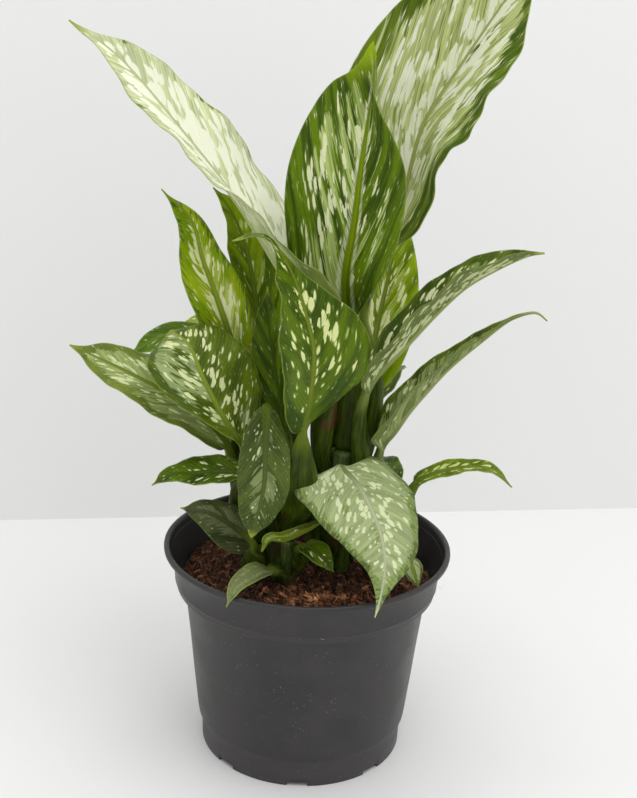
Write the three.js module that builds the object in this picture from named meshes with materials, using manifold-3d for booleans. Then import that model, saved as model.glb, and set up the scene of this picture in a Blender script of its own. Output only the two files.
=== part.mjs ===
// Potted dieffenbachia, a leafy house plant in a round plastic nursery pot.
// Millimetres, +Z up. The origin is the middle of the pot's flat base, where it rests.
// The front of the plant is -Y and its right is +X.

import * as THREE from 'three';
import { mergeVertices } from 'three/addons/utils/BufferGeometryUtils.js';
import Module from 'manifold-3d';

const wasm = await Module();
wasm.setup();

const toRadians = THREE.MathUtils.degToRad;
const mix = THREE.MathUtils.lerp;
const point = (x, y, z) => new THREE.Vector3(x, y, z);

// Driving dimensions of the pot
const potHeight = 128;
const rimRadius = 85;
const footRadius = 61;
const footHeight = 17;
const collarBottom = 102;
const wall = 1.8;
const potSides = 48;
const soilSides = 32;

// Driving dimensions of the soil
const soilLevel = 107;
const soilRoughness = 2.4;
const seatGap = 0.3;

// Driving dimensions of the leaves
const marginThickness = 0.9;
const ribThickness = 3.2;
const stalkRadius = 3;
const sheathThickness = 2;
const sheathHeight = 22;
const sheathReach = toRadians(32);

// Colours
const potPlastic = { color: 0x2b2a2b, roughness: 0.62 };
const coir = { color: 0x4a2a1b, roughness: 0.95 };
const caneGreen = { color: 0x4f7a2c, roughness: 0.5 };
const leafGreen = { color: 0x4e7f2e, roughness: 0.42 };
const paleGreen = { color: 0x9fb886, roughness: 0.4 };

// Solid of a closed mesh, for cutting and joining
function solidOf(geometry) {
  const bare = geometry.clone();
  bare.deleteAttribute('normal');
  bare.deleteAttribute('uv');
  const merged = mergeVertices(bare, 1e-4);
  return new wasm.Manifold(new wasm.Mesh({
    numProp: 3,
    vertProperties: new Float32Array(merged.attributes.position.array),
    triVerts: new Uint32Array(merged.index.array),
  }));
}

function geometryOf(solid) {
  const mesh = solid.getMesh();
  const geometry = new THREE.BufferGeometry();
  geometry.setAttribute('position', new THREE.Float32BufferAttribute(mesh.vertProperties, 3));
  geometry.setIndex(new THREE.Uint32BufferAttribute(mesh.triVerts, 1));
  geometry.computeVertexNormals();
  return geometry;
}

function lathe(profile, sides) {
  const turned = new THREE.LatheGeometry(profile.map(([r, z]) => new THREE.Vector2(r, z)), sides);
  return turned.rotateX(Math.PI / 2);
}

const plant = new THREE.Group();

function addPiece(name, geometry, finish) {
  const piece = new THREE.Mesh(geometry, new THREE.MeshStandardMaterial(finish));
  piece.name = name;
  plant.add(piece);
}

// Pot: foot, tapered body, collar and rolled lip, with a floor that stands on its middle and edge
const floorTop = 6;
const potOutside = [
  [0, 0],
  [24, 0],
  [27, 3.5],
  [51, 3.5],
  [54, 0],
  [footRadius, 0],
  [footRadius + 0.3, footHeight],
  [footRadius + 2.2, footHeight + 1],
  [footRadius + 2.8, footHeight + 4],
  [72.5, collarBottom - 1],
  [77, collarBottom],
  [80.5, potHeight - 4.5],
  [rimRadius - 0.6, potHeight - 3.2],
  [rimRadius, potHeight - 1.4],
  [rimRadius - 0.7, potHeight],
];
const potInside = [
  [81.2, potHeight],
  [80, potHeight - 1.6],
  [77.6 - wall, collarBottom + 3],
  [72.5 - wall, collarBottom - 4],
  [footRadius + 2.2 - wall, footHeight + 4],
  [footRadius - wall, footHeight - 2],
  [footRadius - wall - 1, floorTop],
  [0, floorTop],
];
const notchCount = 8;
const notchWidth = 12;
const notchHeight = 2.6;

function potGeometry() {
  let pot = solidOf(lathe([...potOutside, ...potInside], potSides));
  const notch = new THREE.BoxGeometry(16, notchWidth, 2 * notchHeight);
  notch.translate(footRadius - 1.5, 0, 0);
  notch.rotateZ(toRadians(-90.5));
  for (let i = 0; i < notchCount; i += 1) {
    pot = pot.subtract(solidOf(notch));
    notch.rotateZ((2 * Math.PI) / notchCount);
  }
  return geometryOf(pot);
}
addPiece('pot', potGeometry(), potPlastic);

// Canes: short upright stems with a ring at each old leaf scar, rooted in the soil
const rootDepth = 40;
const caneSides = 12;
const canes = {
  main: { foot: [17, 8], top: [20, 6, 186], radius: 8.5 },
  left: { foot: [-20, 6], top: [-27, 4, 162], radius: 7 },
  side: { foot: [-31, -12], top: [-31, -14, 132], radius: 4.5 },
  front: { foot: [-11, -16], top: [-11, -20, 138], radius: 4.5 },
  right: { foot: [44, -4], top: [47, -4, 134], radius: 5 },
  back: { foot: [8, 38], top: [10, 44, 165], radius: 7.5 },
};

for (const cane of Object.values(canes)) {
  const [topX, topY, topZ] = cane.top;
  const [footX, footY] = cane.foot;
  cane.topPoint = point(topX, topY, topZ);
  const footPoint = point(footX, footY, soilLevel);
  cane.up = cane.topPoint.clone().sub(footPoint).normalize();
  cane.start = footPoint.addScaledVector(cane.up, -rootDepth);
  cane.length = cane.topPoint.distanceTo(cane.start);
}

function onCane(cane, height) {
  const share = (height - cane.start.z) / (cane.topPoint.z - cane.start.z);
  return cane.start.clone().lerp(cane.topPoint, share);
}

function caneGeometry(cane, extra) {
  const ringSpacing = 13;
  const profile = [[0, -extra], [cane.radius - 0.6 + extra, -extra]];
  for (let z = rootDepth + 6; z < cane.length - 6; z += ringSpacing) {
    profile.push([cane.radius - 0.6 + extra, z - 2]);
    profile.push([cane.radius + extra, z]);
  }
  profile.push([cane.radius - 0.8 + extra, cane.length - 2]);
  profile.push([cane.radius - 2 + extra, cane.length + extra]);
  profile.push([0, cane.length + extra]);
  const geometry = lathe(profile, caneSides);
  const upright = new THREE.Quaternion().setFromUnitVectors(point(0, 0, 1), cane.up);
  geometry.applyQuaternion(upright);
  return geometry.translate(cane.start.x, cane.start.y, cane.start.z);
}
for (const [name, cane] of Object.entries(canes)) {
  addPiece(`cane_${name}`, caneGeometry(cane, 0), caneGreen);
}

// Soil: loose coir filling the pot, with a plain hole for each cane
function soilHeight(radius, angle) {
  const x = radius * Math.cos(angle);
  const y = radius * Math.sin(angle);
  const lumps = Math.sin(0.19 * x + 1.3) * Math.cos(0.23 * y - 0.4) + 0.6 * Math.sin(0.41 * x - 0.37 * y);
  const fine = 0.35 * Math.sin(0.93 * x + 0.4) * Math.sin(0.87 * y + 1.1);
  return soilLevel + 0.5 * soilRoughness * (lumps + fine);
}

function soilGeometry() {
  const stations = [
    [0, floorTop + seatGap],
    [footRadius - wall - 1.4, floorTop + seatGap],
    [footRadius - wall - 0.4, footHeight - 2],
    [footRadius + 1.8 - wall, footHeight + 4],
    [72.1 - wall, collarBottom - 4],
  ];
  const rings = 8;
  const outer = 73.8;
  for (let i = rings; i >= 0; i -= 1) {
    stations.push([(outer * i) / rings, null]);
  }
  const geometry = lathe(stations.map(([r, z]) => [r, z ?? soilLevel]), soilSides);
  const place = geometry.attributes.position;
  for (let i = 0; i < place.count; i += 1) {
    if (Math.abs(place.getZ(i) - soilLevel) < 0.01) {
      const radius = Math.hypot(place.getX(i), place.getY(i));
      const angle = radius < 0.01 ? 0 : Math.atan2(place.getY(i), place.getX(i));
      place.setZ(i, soilHeight(radius, angle));
    }
  }
  let soil = solidOf(geometry);
  for (const cane of Object.values(canes)) {
    soil = soil.subtract(solidOf(caneGeometry(cane, seatGap)));
  }
  return geometryOf(soil);
}
addPiece('soil', soilGeometry(), coir);

// Leaves: each is a stalk that clasps its cane, then a waved blade folded along its rib.
// stalk and rib are points of the leaf's middle line, and face is the way that the blade's upper
// side looks at its foot and at its tip. half is the half width, fold the degrees that a half
// rises at the rib, roll how much more it rises at the blade's foot, and bend how much more or
// less it rises by the margin. curl is how much more it rises by the tip, and lobe how far the
// margin reaches back past the blade's foot. wave is the margin's swing, its count and its phase,
// and stem the radius of a stout stalk. Pairs are [left, right], as seen by someone who looks from
// the leaf's foot to its tip.
const leaves = {
  spear: {
    cane: 'main', turn: 'top', stalk: [[21, 5, 225]], stem: 5,
    rib: [[19, 4, 258], [16, -3, 290], [19, -8, 320], [21, -12, 350], [24, -12, 379], [26, -9, 399],
      [24, -6, 416]], face: [[-0.2, -0.97, 0.12], [-0.2, -0.95, 0.15]], half: [40, 34], fold: [8, 42],
    bend: [-10, -18], roll: [10, 0], curl: [0, 62], wave: [0.8, 2, 0.1], round: [0.7, 1.2],
    sharp: [0.75, 1.3], lobe: [0, 0],
  },
  crown: {
    cane: 'main', turn: 25, from: 158, stalk: [[32, 14, 222]], stem: 5.8,
    rib: [[27, 13, 262], [35, 15, 300], [46, 17, 331], [55, 19, 372], [73, 15, 405], [93, 4, 440],
      [110, -11, 468]], face: [[-0.5, -0.8, 0.1], [-0.5, -0.85, 0.05]], half: [50, 44], fold: [36, 34],
    bend: [-8, 6], roll: [-6, 0], wave: [2.4, 4, 0.2], round: [0.9, 1.3], sharp: [0.7, 0.8],
    lobe: [0, 0],
  },
  top_left: {
    cane: 'main', turn: 185, from: 158, stalk: [[8, 3, 222]], stem: 5.8,
    rib: [[6, -2, 248], [-3, -4, 268], [-18, -4, 288], [-33, -3, 311], [-47, -3, 331], [-75, -8, 366],
      [-107, -15, 403], [-131, -22, 421]], face: [[0.5, 0.35, 0.8], [0.2, -0.75, 0.6]], half: [29, 41],
    fold: [20, 22], bend: [-10, -10], roll: [36, 12], wave: [2, 4, 0.6], round: [0.42, 0.42],
    sharp: [0.85, 1.1], lobe: [0, 0],
  },
  front: {
    cane: 'front', turn: 'top', stalk: [[-8, -27, 157], [-7, -36, 183]], stem: 4,
    rib: [[-5, -42, 210], [-2, -47, 235], [-1, -50, 259], [-5, -51, 277], [-12, -53, 298],
      [-20, -56, 313], [-27, -61, 322], [-34, -66, 324], [-43, -71, 321]],
    face: [[0.1, -0.95, 0.2], [0.3, -0.6, 0.7]], half: [28, 36], fold: [44, 12], bend: [-16, -20],
    roll: [20, -56], curl: [0, 50], wave: [1.6, 3, 0.4], round: [0.7, 2], sharp: [0.9, 4.5],
    lobe: [4, 4],
  },
  left_tall: {
    cane: 'left', turn: 102, from: 137, stalk: [[-36, 22, 190]],
    rib: [[-46, 16, 236], [-57, 11, 272], [-65, 9, 294], [-71, 6, 316], [-87, 0, 334]],
    face: [[0.2, -0.9, 0.2], [0.3, -0.9, 0.3]], half: [16, 17], fold: [14, 20], bend: [-12, -12],
    roll: [10, 10], wave: [1.4, 3, 0.3], round: [0.6, 0.6], sharp: [1.0, 1.5], lobe: [3, 3],
  },
  left_narrow: {
    cane: 'left', turn: 'top', stalk: [[-29, 10, 200]],
    rib: [[-31, 23, 239], [-36, 30, 266], [-40, 31, 288], [-46, 26, 309], [-53, 19, 324], [-60, 13, 334]],
    face: [[0.3, -0.9, 0.2], [0.5, -0.8, 0.3]], half: [15, 17], fold: [20, 20], bend: [-12, -12],
    roll: [10, 10], wave: [1.2, 3, 0.8], round: [0.6, 0.6], sharp: [1.0, 1.0], lobe: [2, 2],
  },
  behind_crown: {
    cane: 'main', turn: 85, from: 136, stalk: [[26, 26, 180]],
    rib: [[31, 33, 212], [36, 38, 250], [42, 42, 286], [46, 44, 326]],
    face: [[0.1, -0.95, 0.3], [0.1, -0.9, 0.3]], half: [20, 22], fold: [16, 16], bend: [-10, -10],
    roll: [10, 10], wave: [1.4, 3, 0.2], round: [0.6, 0.6], sharp: [1.0, 1.0], lobe: [4, 4],
  },
  right_upper: {
    cane: 'main', turn: 320, from: 134, stalk: [[29, -2, 184], [26, -9, 208]], stem: 4.6,
    rib: [[29, -16, 227], [36, -18, 240], [49, -20, 256], [65, -22, 276], [80, -24, 292],
      [98, -26, 304], [111, -28, 311], [119, -30, 313]],
    face: [[-0.8, -0.15, 0.6], [-0.35, -0.1, 0.93]], half: [17, 20], fold: [50, 50], bend: [-12, -12],
    roll: [0, 0], wave: [1.2, 4, 0.2], round: [0.5, 0.5], sharp: [0.75, 0.75], lobe: [2, 2],
  },
  right_middle: {
    cane: 'main', turn: 20, from: 112, stalk: [[36, 12, 150]], stem: 3.6,
    rib: [[40, 1, 188], [47, -3, 200], [55, -5, 214], [64, -5, 226], [75, -6, 240], [93, -8, 258],
      [109, -10, 272], [121, -12, 276], [127, -13, 272]],
    face: [[-0.75, -0.1, 0.65], [-0.5, -0.1, 0.85]], half: [15, 17], fold: [52, 48], bend: [-10, -10],
    roll: [0, 0], wave: [1, 4, 0.5], round: [0.36, 0.32], sharp: [1.5, 1.5], lobe: [1, 1],
  },
  right_hanging: {
    cane: 'right', turn: 205, from: 112, stalk: [[31, -16, 152], [20, -15, 178]],
    rib: [[17, -21, 184], [26, -34, 180], [32, -45, 174], [39, -57, 162], [42, -71, 150],
      [40, -83, 136], [37, -92, 128]], face: [[0.1, -0.3, 0.95], [0.1, -0.85, 0.5]], half: [29, 34],
    fold: [8, 8], bend: [-28, -28], roll: [0, 0], wave: [1.2, 3, 0.2], round: [0.3, 0.16],
    sharp: [1.05, 1.05], lobe: [12, 8],
  },
  right_small: {
    cane: 'right', turn: 20, from: 116, stalk: [[54, 2, 144]],
    rib: [[62, 6, 164], [77, 5, 173], [92, 2, 178], [106, -3, 179], [117, -9, 171]],
    face: [[-0.3, -0.4, 0.9], [0.3, -0.4, 0.9]], half: [7, 7], fold: [24, 24], bend: [-14, -14],
    roll: [10, 10], wave: [0.6, 3, 0.2], round: [0.4, 0.4], sharp: [0.9, 0.9], lobe: [2, 2],
  },
  right_low: {
    cane: 'right', turn: 292, from: 111, stalk: [[50, -18, 126]],
    rib: [[53, -26, 129], [59, -31, 130], [64, -38, 119]],
    face: [[0, -0.2, 1], [0.4, -0.5, 0.7]], half: [7, 7], fold: [12, 12], bend: [-20, -20],
    roll: [0, 0], wave: [0.3, 2, 0.2], round: [0.6, 0.6], sharp: [1.0, 1.0], lobe: [1, 1],
  },
  left_round: {
    cane: 'left', turn: 285, from: 134, stalk: [[-30, -12, 172]],
    rib: [[-37, -20, 191], [-50, -25, 213], [-61, -23, 234], [-70, -13, 250], [-82, 2, 254]],
    face: [[0.3, -0.8, 0.5], [-0.3, -0.2, 1]], half: [27, 31], fold: [12, 12], bend: [-16, -16],
    roll: [36, 0], wave: [1.8, 3, 0.1], round: [1.9, 0.7], sharp: [0.8, 0.8], lobe: [2, 2],
  },
  left_inner: {
    cane: 'left', turn: 350, from: 134, stalk: [[-14, 0, 172]], stem: 3.6,
    rib: [[-14, -6, 194], [-17, -6, 214], [-22, -2, 236], [-26, 2, 258], [-28, 5, 281]],
    face: [[-0.5, -0.85, 0.1], [-0.3, -0.9, 0.2]], half: [14, 13], fold: [34, 34], bend: [-12, -12],
    roll: [10, 10], wave: [1, 3, 0.7], round: [0.6, 0.6], sharp: [0.9, 0.9], lobe: [2, 2],
  },
  left_curled: {
    cane: 'left', turn: 161, from: 112, stalk: [[-42, 15, 168]],
    rib: [[-54, 24, 212], [-63, 27, 236], [-85, 26, 245], [-109, 19, 233]],
    face: [[0.4, -0.6, 0.7], [-0.2, -0.4, 0.9]], half: [18, 11], fold: [20, 20], bend: [-14, -14],
    roll: [10, 10], wave: [1, 2, 0.1], round: [0.6, 0.6], sharp: [0.9, 0.9], lobe: [3, 3],
  },
  left_long: {
    cane: 'left', turn: 226, from: 112, stalk: [[-41, -1, 156]],
    rib: [[-48, 2, 184], [-72, 1, 209], [-106, -1, 229], [-139, -1, 244]],
    face: [[0.4, -0.5, 0.8], [0.1, -0.6, 0.8]], half: [20, 20], fold: [14, 14], bend: [-14, -14],
    roll: [10, 10], wave: [1.4, 3, 0.4], round: [0.6, 0.6], sharp: [0.85, 0.85], lobe: [4, 4],
  },
  left_lower: {
    cane: 'side', turn: 175, from: 111, stalk: [[-42, -14, 160]],
    rib: [[-38, -18, 176], [-50, -20, 178], [-68, -22, 177], [-80, -24, 176], [-89, -27, 171]],
    face: [[0.1, -0.6, 0.8], [-0.2, -0.5, 0.8]], half: [9, 11], fold: [14, 14], bend: [-14, -14],
    roll: [10, 10], wave: [0.8, 3, 0.2], round: [0.6, 0.6], sharp: [1.0, 1.0], lobe: [2, 2],
  },
  front_hanging: {
    cane: 'side', turn: 'top', stalk: [[-24, -19, 162], [-20, -23, 203]],
    rib: [[-25, -31, 222], [-25, -41, 206], [-25, -49, 182], [-31, -55, 154]],
    face: [[0.1, -0.5, 0.8], [0.1, -0.95, 0.2]], half: [14, 15], fold: [10, 10], bend: [-24, -24],
    roll: [10, 10], wave: [1, 3, 0.3], round: [0.7, 0.7], sharp: [0.7, 0.7], lobe: [3, 3],
  },
  left_low: {
    cane: 'side', turn: 270, from: 111, stalk: [[-30, -26, 130]],
    rib: [[-32, -29, 139], [-42, -31, 149], [-57, -32, 158], [-72, -34, 161]],
    face: [[0.5, -0.6, 0.6], [0.1, -0.7, 0.7]], half: [15, 12], fold: [10, 10], bend: [-20, -20],
    roll: [0, 0], wave: [0.8, 2, 0.2], round: [0.5, 0.5], sharp: [1.0, 1.0], lobe: [4, 4],
  },
  front_small: {
    cane: 'front', turn: 235, from: 111, stalk: [[-17, -30, 123]],
    rib: [[-20, -37, 126], [-25, -47, 131], [-31, -60, 134], [-38, -72, 133], [-42, -81, 125]],
    face: [[0.2, -0.3, 0.95], [0.1, -0.6, 0.8]], half: [7, 6], fold: [16, 16], bend: [-14, -14],
    roll: [10, 10], wave: [0.5, 2, 0.2], round: [0.6, 0.6], sharp: [0.9, 0.9], lobe: [1, 1],
  },
  front_rolled: {
    cane: 'main', turn: 250, from: 111, stalk: [[12, -12, 146]],
    rib: [[8, -26, 154], [-1, -34, 151], [-13, -43, 148], [-21, -49, 150], [-25, -51, 144]],
    face: [[0.4, 0.2, 0.9], [-0.4, -0.2, 0.9]], half: [5, 5], fold: [30, 30], bend: [30, 30],
    roll: [20, 20], wave: [0.3, 2, 0.2], round: [0.9, 0.9], sharp: [0.5, 0.5], lobe: [0, 0],
  },
  front_curled: {
    cane: 'front', turn: 325, from: 116, stalk: [[-4, -27, 134]],
    rib: [[-3, -33, 140], [2, -38, 141], [9, -42, 137], [15, -44, 130]],
    face: [[0.1, -0.5, 0.9], [0.3, -0.5, 0.8]], half: [8, 7], fold: [14, 14], bend: [-16, -16],
    roll: [0, 0], wave: [0.6, 2, 0.2], round: [0.6, 0.6], sharp: [0.9, 0.9], lobe: [1, 1],
  },
  back_tall: {
    cane: 'back', turn: 'top', stalk: [[12, 52, 212]],
    rib: [[14, 60, 246], [17, 74, 284], [15, 94, 316], [9, 114, 330]],
    face: [[0, -0.8, 0.6], [-0.1, -0.4, 0.9]], half: [24, 24], fold: [18, 18], bend: [-12, -12],
    roll: [16, 16], wave: [1.6, 4, 0.3], round: [0.5, 0.5], sharp: [0.95, 0.95], lobe: [5, 5],
  },
  back_broad: {
    cane: 'back', turn: 72, from: 136, stalk: [[12, 64, 184]],
    rib: [[13, 78, 206], [14, 98, 232], [10, 124, 244], [2, 148, 232]],
    face: [[0.1, -0.7, 0.7], [-0.1, 0.2, 1]], half: [27, 27], fold: [14, 14], bend: [-18, -18],
    roll: [14, 14], wave: [1.8, 4, 0.1], round: [0.5, 0.5], sharp: [0.95, 0.95], lobe: [6, 6],
  },
  back_right: {
    cane: 'back', turn: 345, from: 136, stalk: [[28, 47, 172]],
    rib: [[32, 54, 186], [39, 70, 202], [45, 92, 207], [47, 112, 195]],
    face: [[-0.6, -0.3, 0.7], [0, 0.1, 1]], half: [20, 19], fold: [18, 18], bend: [-14, -14],
    roll: [10, 10], wave: [1.2, 3, 0.5], round: [0.6, 0.6], sharp: [0.95, 0.95], lobe: [3, 3],
  },
  back_left: {
    cane: 'back', turn: 160, from: 136, stalk: [[-12, 52, 178]],
    rib: [[-22, 58, 202], [-42, 70, 228], [-66, 82, 240], [-90, 90, 232]],
    face: [[0.5, -0.4, 0.7], [-0.1, -0.1, 1]], half: [21, 21], fold: [14, 14], bend: [-16, -16],
    roll: [12, 12], wave: [1.4, 3, 0.2], round: [0.55, 0.55], sharp: [0.95, 0.95], lobe: [4, 4],
  },
  back_low_right: {
    cane: 'back', turn: 42, from: 111, stalk: [[20, 58, 142]],
    rib: [[21, 68, 156], [24, 86, 170], [25, 106, 168], [24, 124, 150]],
    face: [[-0.3, -0.3, 0.9], [0.3, 0.6, 0.6]], half: [14, 14], fold: [12, 12], bend: [-18, -18],
    roll: [10, 10], wave: [0.9, 3, 0.3], round: [0.55, 0.55], sharp: [0.95, 0.95], lobe: [3, 3],
  },
  back_low_left: {
    cane: 'back', turn: 112, from: 111, stalk: [[-2, 62, 138]],
    rib: [[-8, 70, 152], [-20, 86, 164], [-32, 104, 160], [-42, 120, 142]],
    face: [[0.3, -0.4, 0.8], [-0.3, 0.6, 0.6]], half: [15, 15], fold: [12, 12], bend: [-18, -18],
    roll: [10, 10], wave: [0.9, 3, 0.1], round: [0.55, 0.55], sharp: [0.95, 0.95], lobe: [3, 3],
  },
  left_behind: {
    cane: 'left', turn: 43, from: 112, stalk: [[-22, 26, 164]],
    rib: [[-28, 38, 196], [-40, 52, 228], [-54, 66, 252], [-70, 78, 258]],
    face: [[0.4, -0.7, 0.6], [0, -0.2, 1]], half: [18, 18], fold: [16, 16], bend: [-14, -14],
    roll: [12, 12], wave: [1.2, 3, 0.4], round: [0.55, 0.55], sharp: [0.95, 0.95], lobe: [3, 3],
  },
  left_back: {
    cane: 'back', turn: 200, from: 111, stalk: [[-14, 44, 148]],
    rib: [[-26, 48, 166], [-48, 56, 190], [-74, 64, 204], [-98, 70, 196]],
    face: [[0.4, -0.4, 0.8], [-0.2, 0.1, 1]], half: [15, 15], fold: [14, 14], bend: [-16, -16],
    roll: [10, 10], wave: [1, 3, 0.6], round: [0.55, 0.55], sharp: [0.95, 0.95], lobe: [3, 3],
  },
  right_back: {
    cane: 'right', turn: 92, from: 112, stalk: [[46, 14, 138]],
    rib: [[46, 26, 149], [44, 46, 157], [41, 66, 157], [38, 84, 146]],
    face: [[0.1, -0.7, 0.7], [0, 0.3, 0.9]], half: [14, 14], fold: [16, 16], bend: [-16, -16],
    roll: [10, 10], wave: [1, 3, 0.2], round: [0.55, 0.55], sharp: [0.95, 0.95], lobe: [3, 3],
  },
};

const columnsPerHalf = 2;
const columnCount = 2 * columnsPerHalf + 1;

// Points along a curve between two of its parameters, even in length
function evenStations(curve, from, to, count) {
  const samples = 120;
  const lengths = [0];
  for (let i = 1; i <= samples; i += 1) {
    const a = curve.getPoint(mix(from, to, (i - 1) / samples));
    const b = curve.getPoint(mix(from, to, i / samples));
    lengths.push(lengths[i - 1] + a.distanceTo(b));
  }
  const stations = [];
  let k = 0;
  for (let i = 0; i <= count; i += 1) {
    const wanted = (lengths[samples] * i) / count;
    while (k < samples - 1 && lengths[k + 1] < wanted) {
      k += 1;
    }
    const part = (wanted - lengths[k]) / (lengths[k + 1] - lengths[k]);
    stations.push(mix(from, to, (k + part) / samples));
  }
  return stations;
}

// Skin over rings that each hold an upper and a lower row of points
function skin(rings) {
  const n = columnCount;
  const positions = rings.flat().flatMap((p) => [p.x, p.y, p.z]);
  const faces = [];
  const upper = (ring, column) => ring * 2 * n + column;
  const lower = (ring, column) => ring * 2 * n + n + column;
  const last = rings.length - 1;
  for (let ring = 0; ring < last; ring += 1) {
    for (let column = 0; column < n - 1; column += 1) {
      const [a, b, c, d] = [[0, 0], [0, 1], [1, 1], [1, 0]].map(([r, s]) => [ring + r, column + s]);
      faces.push(upper(...a), upper(...b), upper(...c), upper(...a), upper(...c), upper(...d));
      faces.push(lower(...a), lower(...c), lower(...b), lower(...a), lower(...d), lower(...c));
    }
    faces.push(lower(ring, 0), upper(ring, 0), upper(ring + 1, 0));
    faces.push(lower(ring, 0), upper(ring + 1, 0), lower(ring + 1, 0));
    faces.push(upper(ring, n - 1), lower(ring, n - 1), lower(ring + 1, n - 1));
    faces.push(upper(ring, n - 1), lower(ring + 1, n - 1), upper(ring + 1, n - 1));
  }
  for (let column = 0; column < n - 1; column += 1) {
    faces.push(upper(0, column), lower(0, column), lower(0, column + 1));
    faces.push(upper(0, column), lower(0, column + 1), upper(0, column + 1));
    faces.push(upper(last, column), lower(last, column + 1), lower(last, column));
    faces.push(upper(last, column), upper(last, column + 1), lower(last, column + 1));
  }
  const geometry = new THREE.BufferGeometry();
  geometry.setAttribute('position', new THREE.Float32BufferAttribute(positions, 3));
  geometry.setIndex(faces);
  geometry.computeVertexNormals();
  return geometry;
}

// Axes of a leaf at a place on its middle line: along it, out of its upper side, and to its right
function leafAxes(curve, t, face) {
  const along = curve.getTangent(t);
  const up = face.clone().addScaledVector(along, -face.dot(along)).normalize();
  const right = along.clone().cross(up);
  return { place: curve.getPoint(t), along, up, right };
}

function stalkRing({ place, up, right }, radius) {
  const step = Math.PI / columnCount;
  const ring = [];
  for (const side of [1, -1]) {
    for (let column = 0; column < columnCount; column += 1) {
      const angle = Math.PI - step * (column + 0.5);
      const height = side * Math.sin(angle) * (side > 0 ? 0.75 : 1);
      const spot = place.clone().addScaledVector(right, radius * Math.cos(angle));
      ring.push(spot.addScaledVector(up, radius * height));
    }
  }
  return ring;
}

// Sheath at the foot of a stalk, wrapped part of the way round the cane
function sheathRing(cane, turn, height, reach) {
  const middle = onCane(cane, height);
  const step = (2 * reach) / (columnCount - 1);
  const ring = [];
  for (const out of [seatGap, seatGap + sheathThickness]) {
    for (let column = 0; column < columnCount; column += 1) {
      const angle = turn + reach - step * column;
      const radius = (cane.radius + out) / Math.cos(step / 2);
      ring.push(middle.clone().add(point(radius * Math.cos(angle), radius * Math.sin(angle), 0)));
    }
  }
  return ring;
}

function halfWidth(leaf, side, s) {
  const round = leaf.round[side];
  const sharp = leaf.sharp[side];
  const peak = round / (round + sharp);
  const shape = (q) => q ** round * (1 - q) ** sharp;
  return Math.max(leaf.half[side] * (shape(s) / shape(peak)), 0.7);
}

function bladeRing({ place, along, up, right }, leaf, s) {
  const [size, count, phase] = leaf.wave;
  const calm = Math.min(1, 5 * s, 4 * (1 - s));
  const { curl = [0, 0] } = leaf;
  const tipward = THREE.MathUtils.smoothstep(s, 0.6, 0.95);
  const upperRow = [];
  const lowerRow = [];
  for (let column = 0; column < columnCount; column += 1) {
    const across = column / columnsPerHalf - 1;
    const out = Math.abs(across);
    const side = across < 0 ? 0 : 1;
    const half = halfWidth(leaf, side, s);
    const slack = Math.min(1, half / 4);
    const bend = slack * toRadians(leaf.bend[side]);
    const rise = leaf.fold[side] + leaf.roll[side] * (1 - s) ** 3 + curl[side] * tipward;
    const fold = slack * toRadians(rise);
    const back = s < 0.3 ? leaf.lobe[side] * (1 - s / 0.3) ** 2 : 0;
    const wave = size * Math.sin(2 * Math.PI * (count * s + phase + 0.37 * side)) * out * out * calm;
    const mean = fold + 0.5 * bend * out;
    const turn = out === 0 ? 0 : fold + bend * out;
    const hand = Math.sign(across);
    const flat = up.clone().multiplyScalar(Math.cos(turn)).addScaledVector(right, -hand * Math.sin(turn));
    const middle = place.clone()
      .addScaledVector(right, hand * half * out * Math.cos(mean))
      .addScaledVector(up, half * out * Math.sin(mean))
      .addScaledVector(flat, wave)
      .addScaledVector(along, -back * out * out);
    const rib = mix(ribThickness, 1, Math.min(1, 1.3 * s));
    const thick = out === 0 ? rib : mix(marginThickness, 1.3, 1 - out);
    upperRow.push(middle.clone().addScaledVector(flat, 0.5 * marginThickness));
    lowerRow.push(middle.clone().addScaledVector(flat, 0.5 * marginThickness - thick));
  }
  return [...upperRow, ...lowerRow];
}

function leafGeometry(leaf) {
  const cane = canes[leaf.cane];
  const fromTop = leaf.turn === 'top';
  const { stem = stalkRadius } = leaf;
  const footFace = point(...leaf.face[0]);
  const tipFace = point(...leaf.face[1]);
  const line = [];
  const rings = [];
  const turn = fromTop ? 0 : toRadians(leaf.turn);
  const outward = fromTop ? footFace.clone().negate() : point(Math.cos(turn), Math.sin(turn), 0);
  if (fromTop) {
    line.push(cane.topPoint.clone().addScaledVector(cane.up, seatGap + 0.3));
    line.push(cane.topPoint.clone().addScaledVector(cane.up, 7));
  } else {
    const height = Math.min(sheathHeight, 0.5 * (leaf.stalk[0][2] - leaf.from));
    rings.push(sheathRing(cane, turn, leaf.from, sheathReach));
    rings.push(sheathRing(cane, turn, leaf.from + 0.5 * height, 0.85 * sheathReach));
    const beside = onCane(cane, leaf.from + height);
    line.push(beside.addScaledVector(outward, cane.radius + stalkRadius + 0.8));
  }
  line.push(...leaf.stalk.map((p) => point(...p)));
  const stalkSpans = line.length;
  line.push(...leaf.rib.map((p) => point(...p)));
  const curve = new THREE.CatmullRomCurve3(line, false, 'centripetal');
  const bladeStart = stalkSpans / (line.length - 1);
  const stalkStations = evenStations(curve, 0, bladeStart, 2 + stalkSpans);
  stalkStations.forEach((t, i) => {
    const share = i / (stalkStations.length - 1);
    const face = outward.clone().negate().lerp(footFace, share).normalize();
    const swell = 4 * share * (1 - share) * (stem - stalkRadius);
    const radius = mix(stalkRadius + 0.5, stalkRadius - 0.8, share) + swell;
    rings.push(stalkRing(leafAxes(curve, t, face), radius));
  });
  const bladeSpans = leaf.half[1] > 15 ? 14 : 10;
  const bladeStations = evenStations(curve, bladeStart, 1, bladeSpans);
  bladeStations.forEach((t, i) => {
    const s = i / bladeSpans;
    if (i > 0) {
      const face = footFace.clone().lerp(tipFace, s).normalize();
      rings.push(bladeRing(leafAxes(curve, t, face), leaf, s));
    }
  });
  return skin(rings);
}

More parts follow.
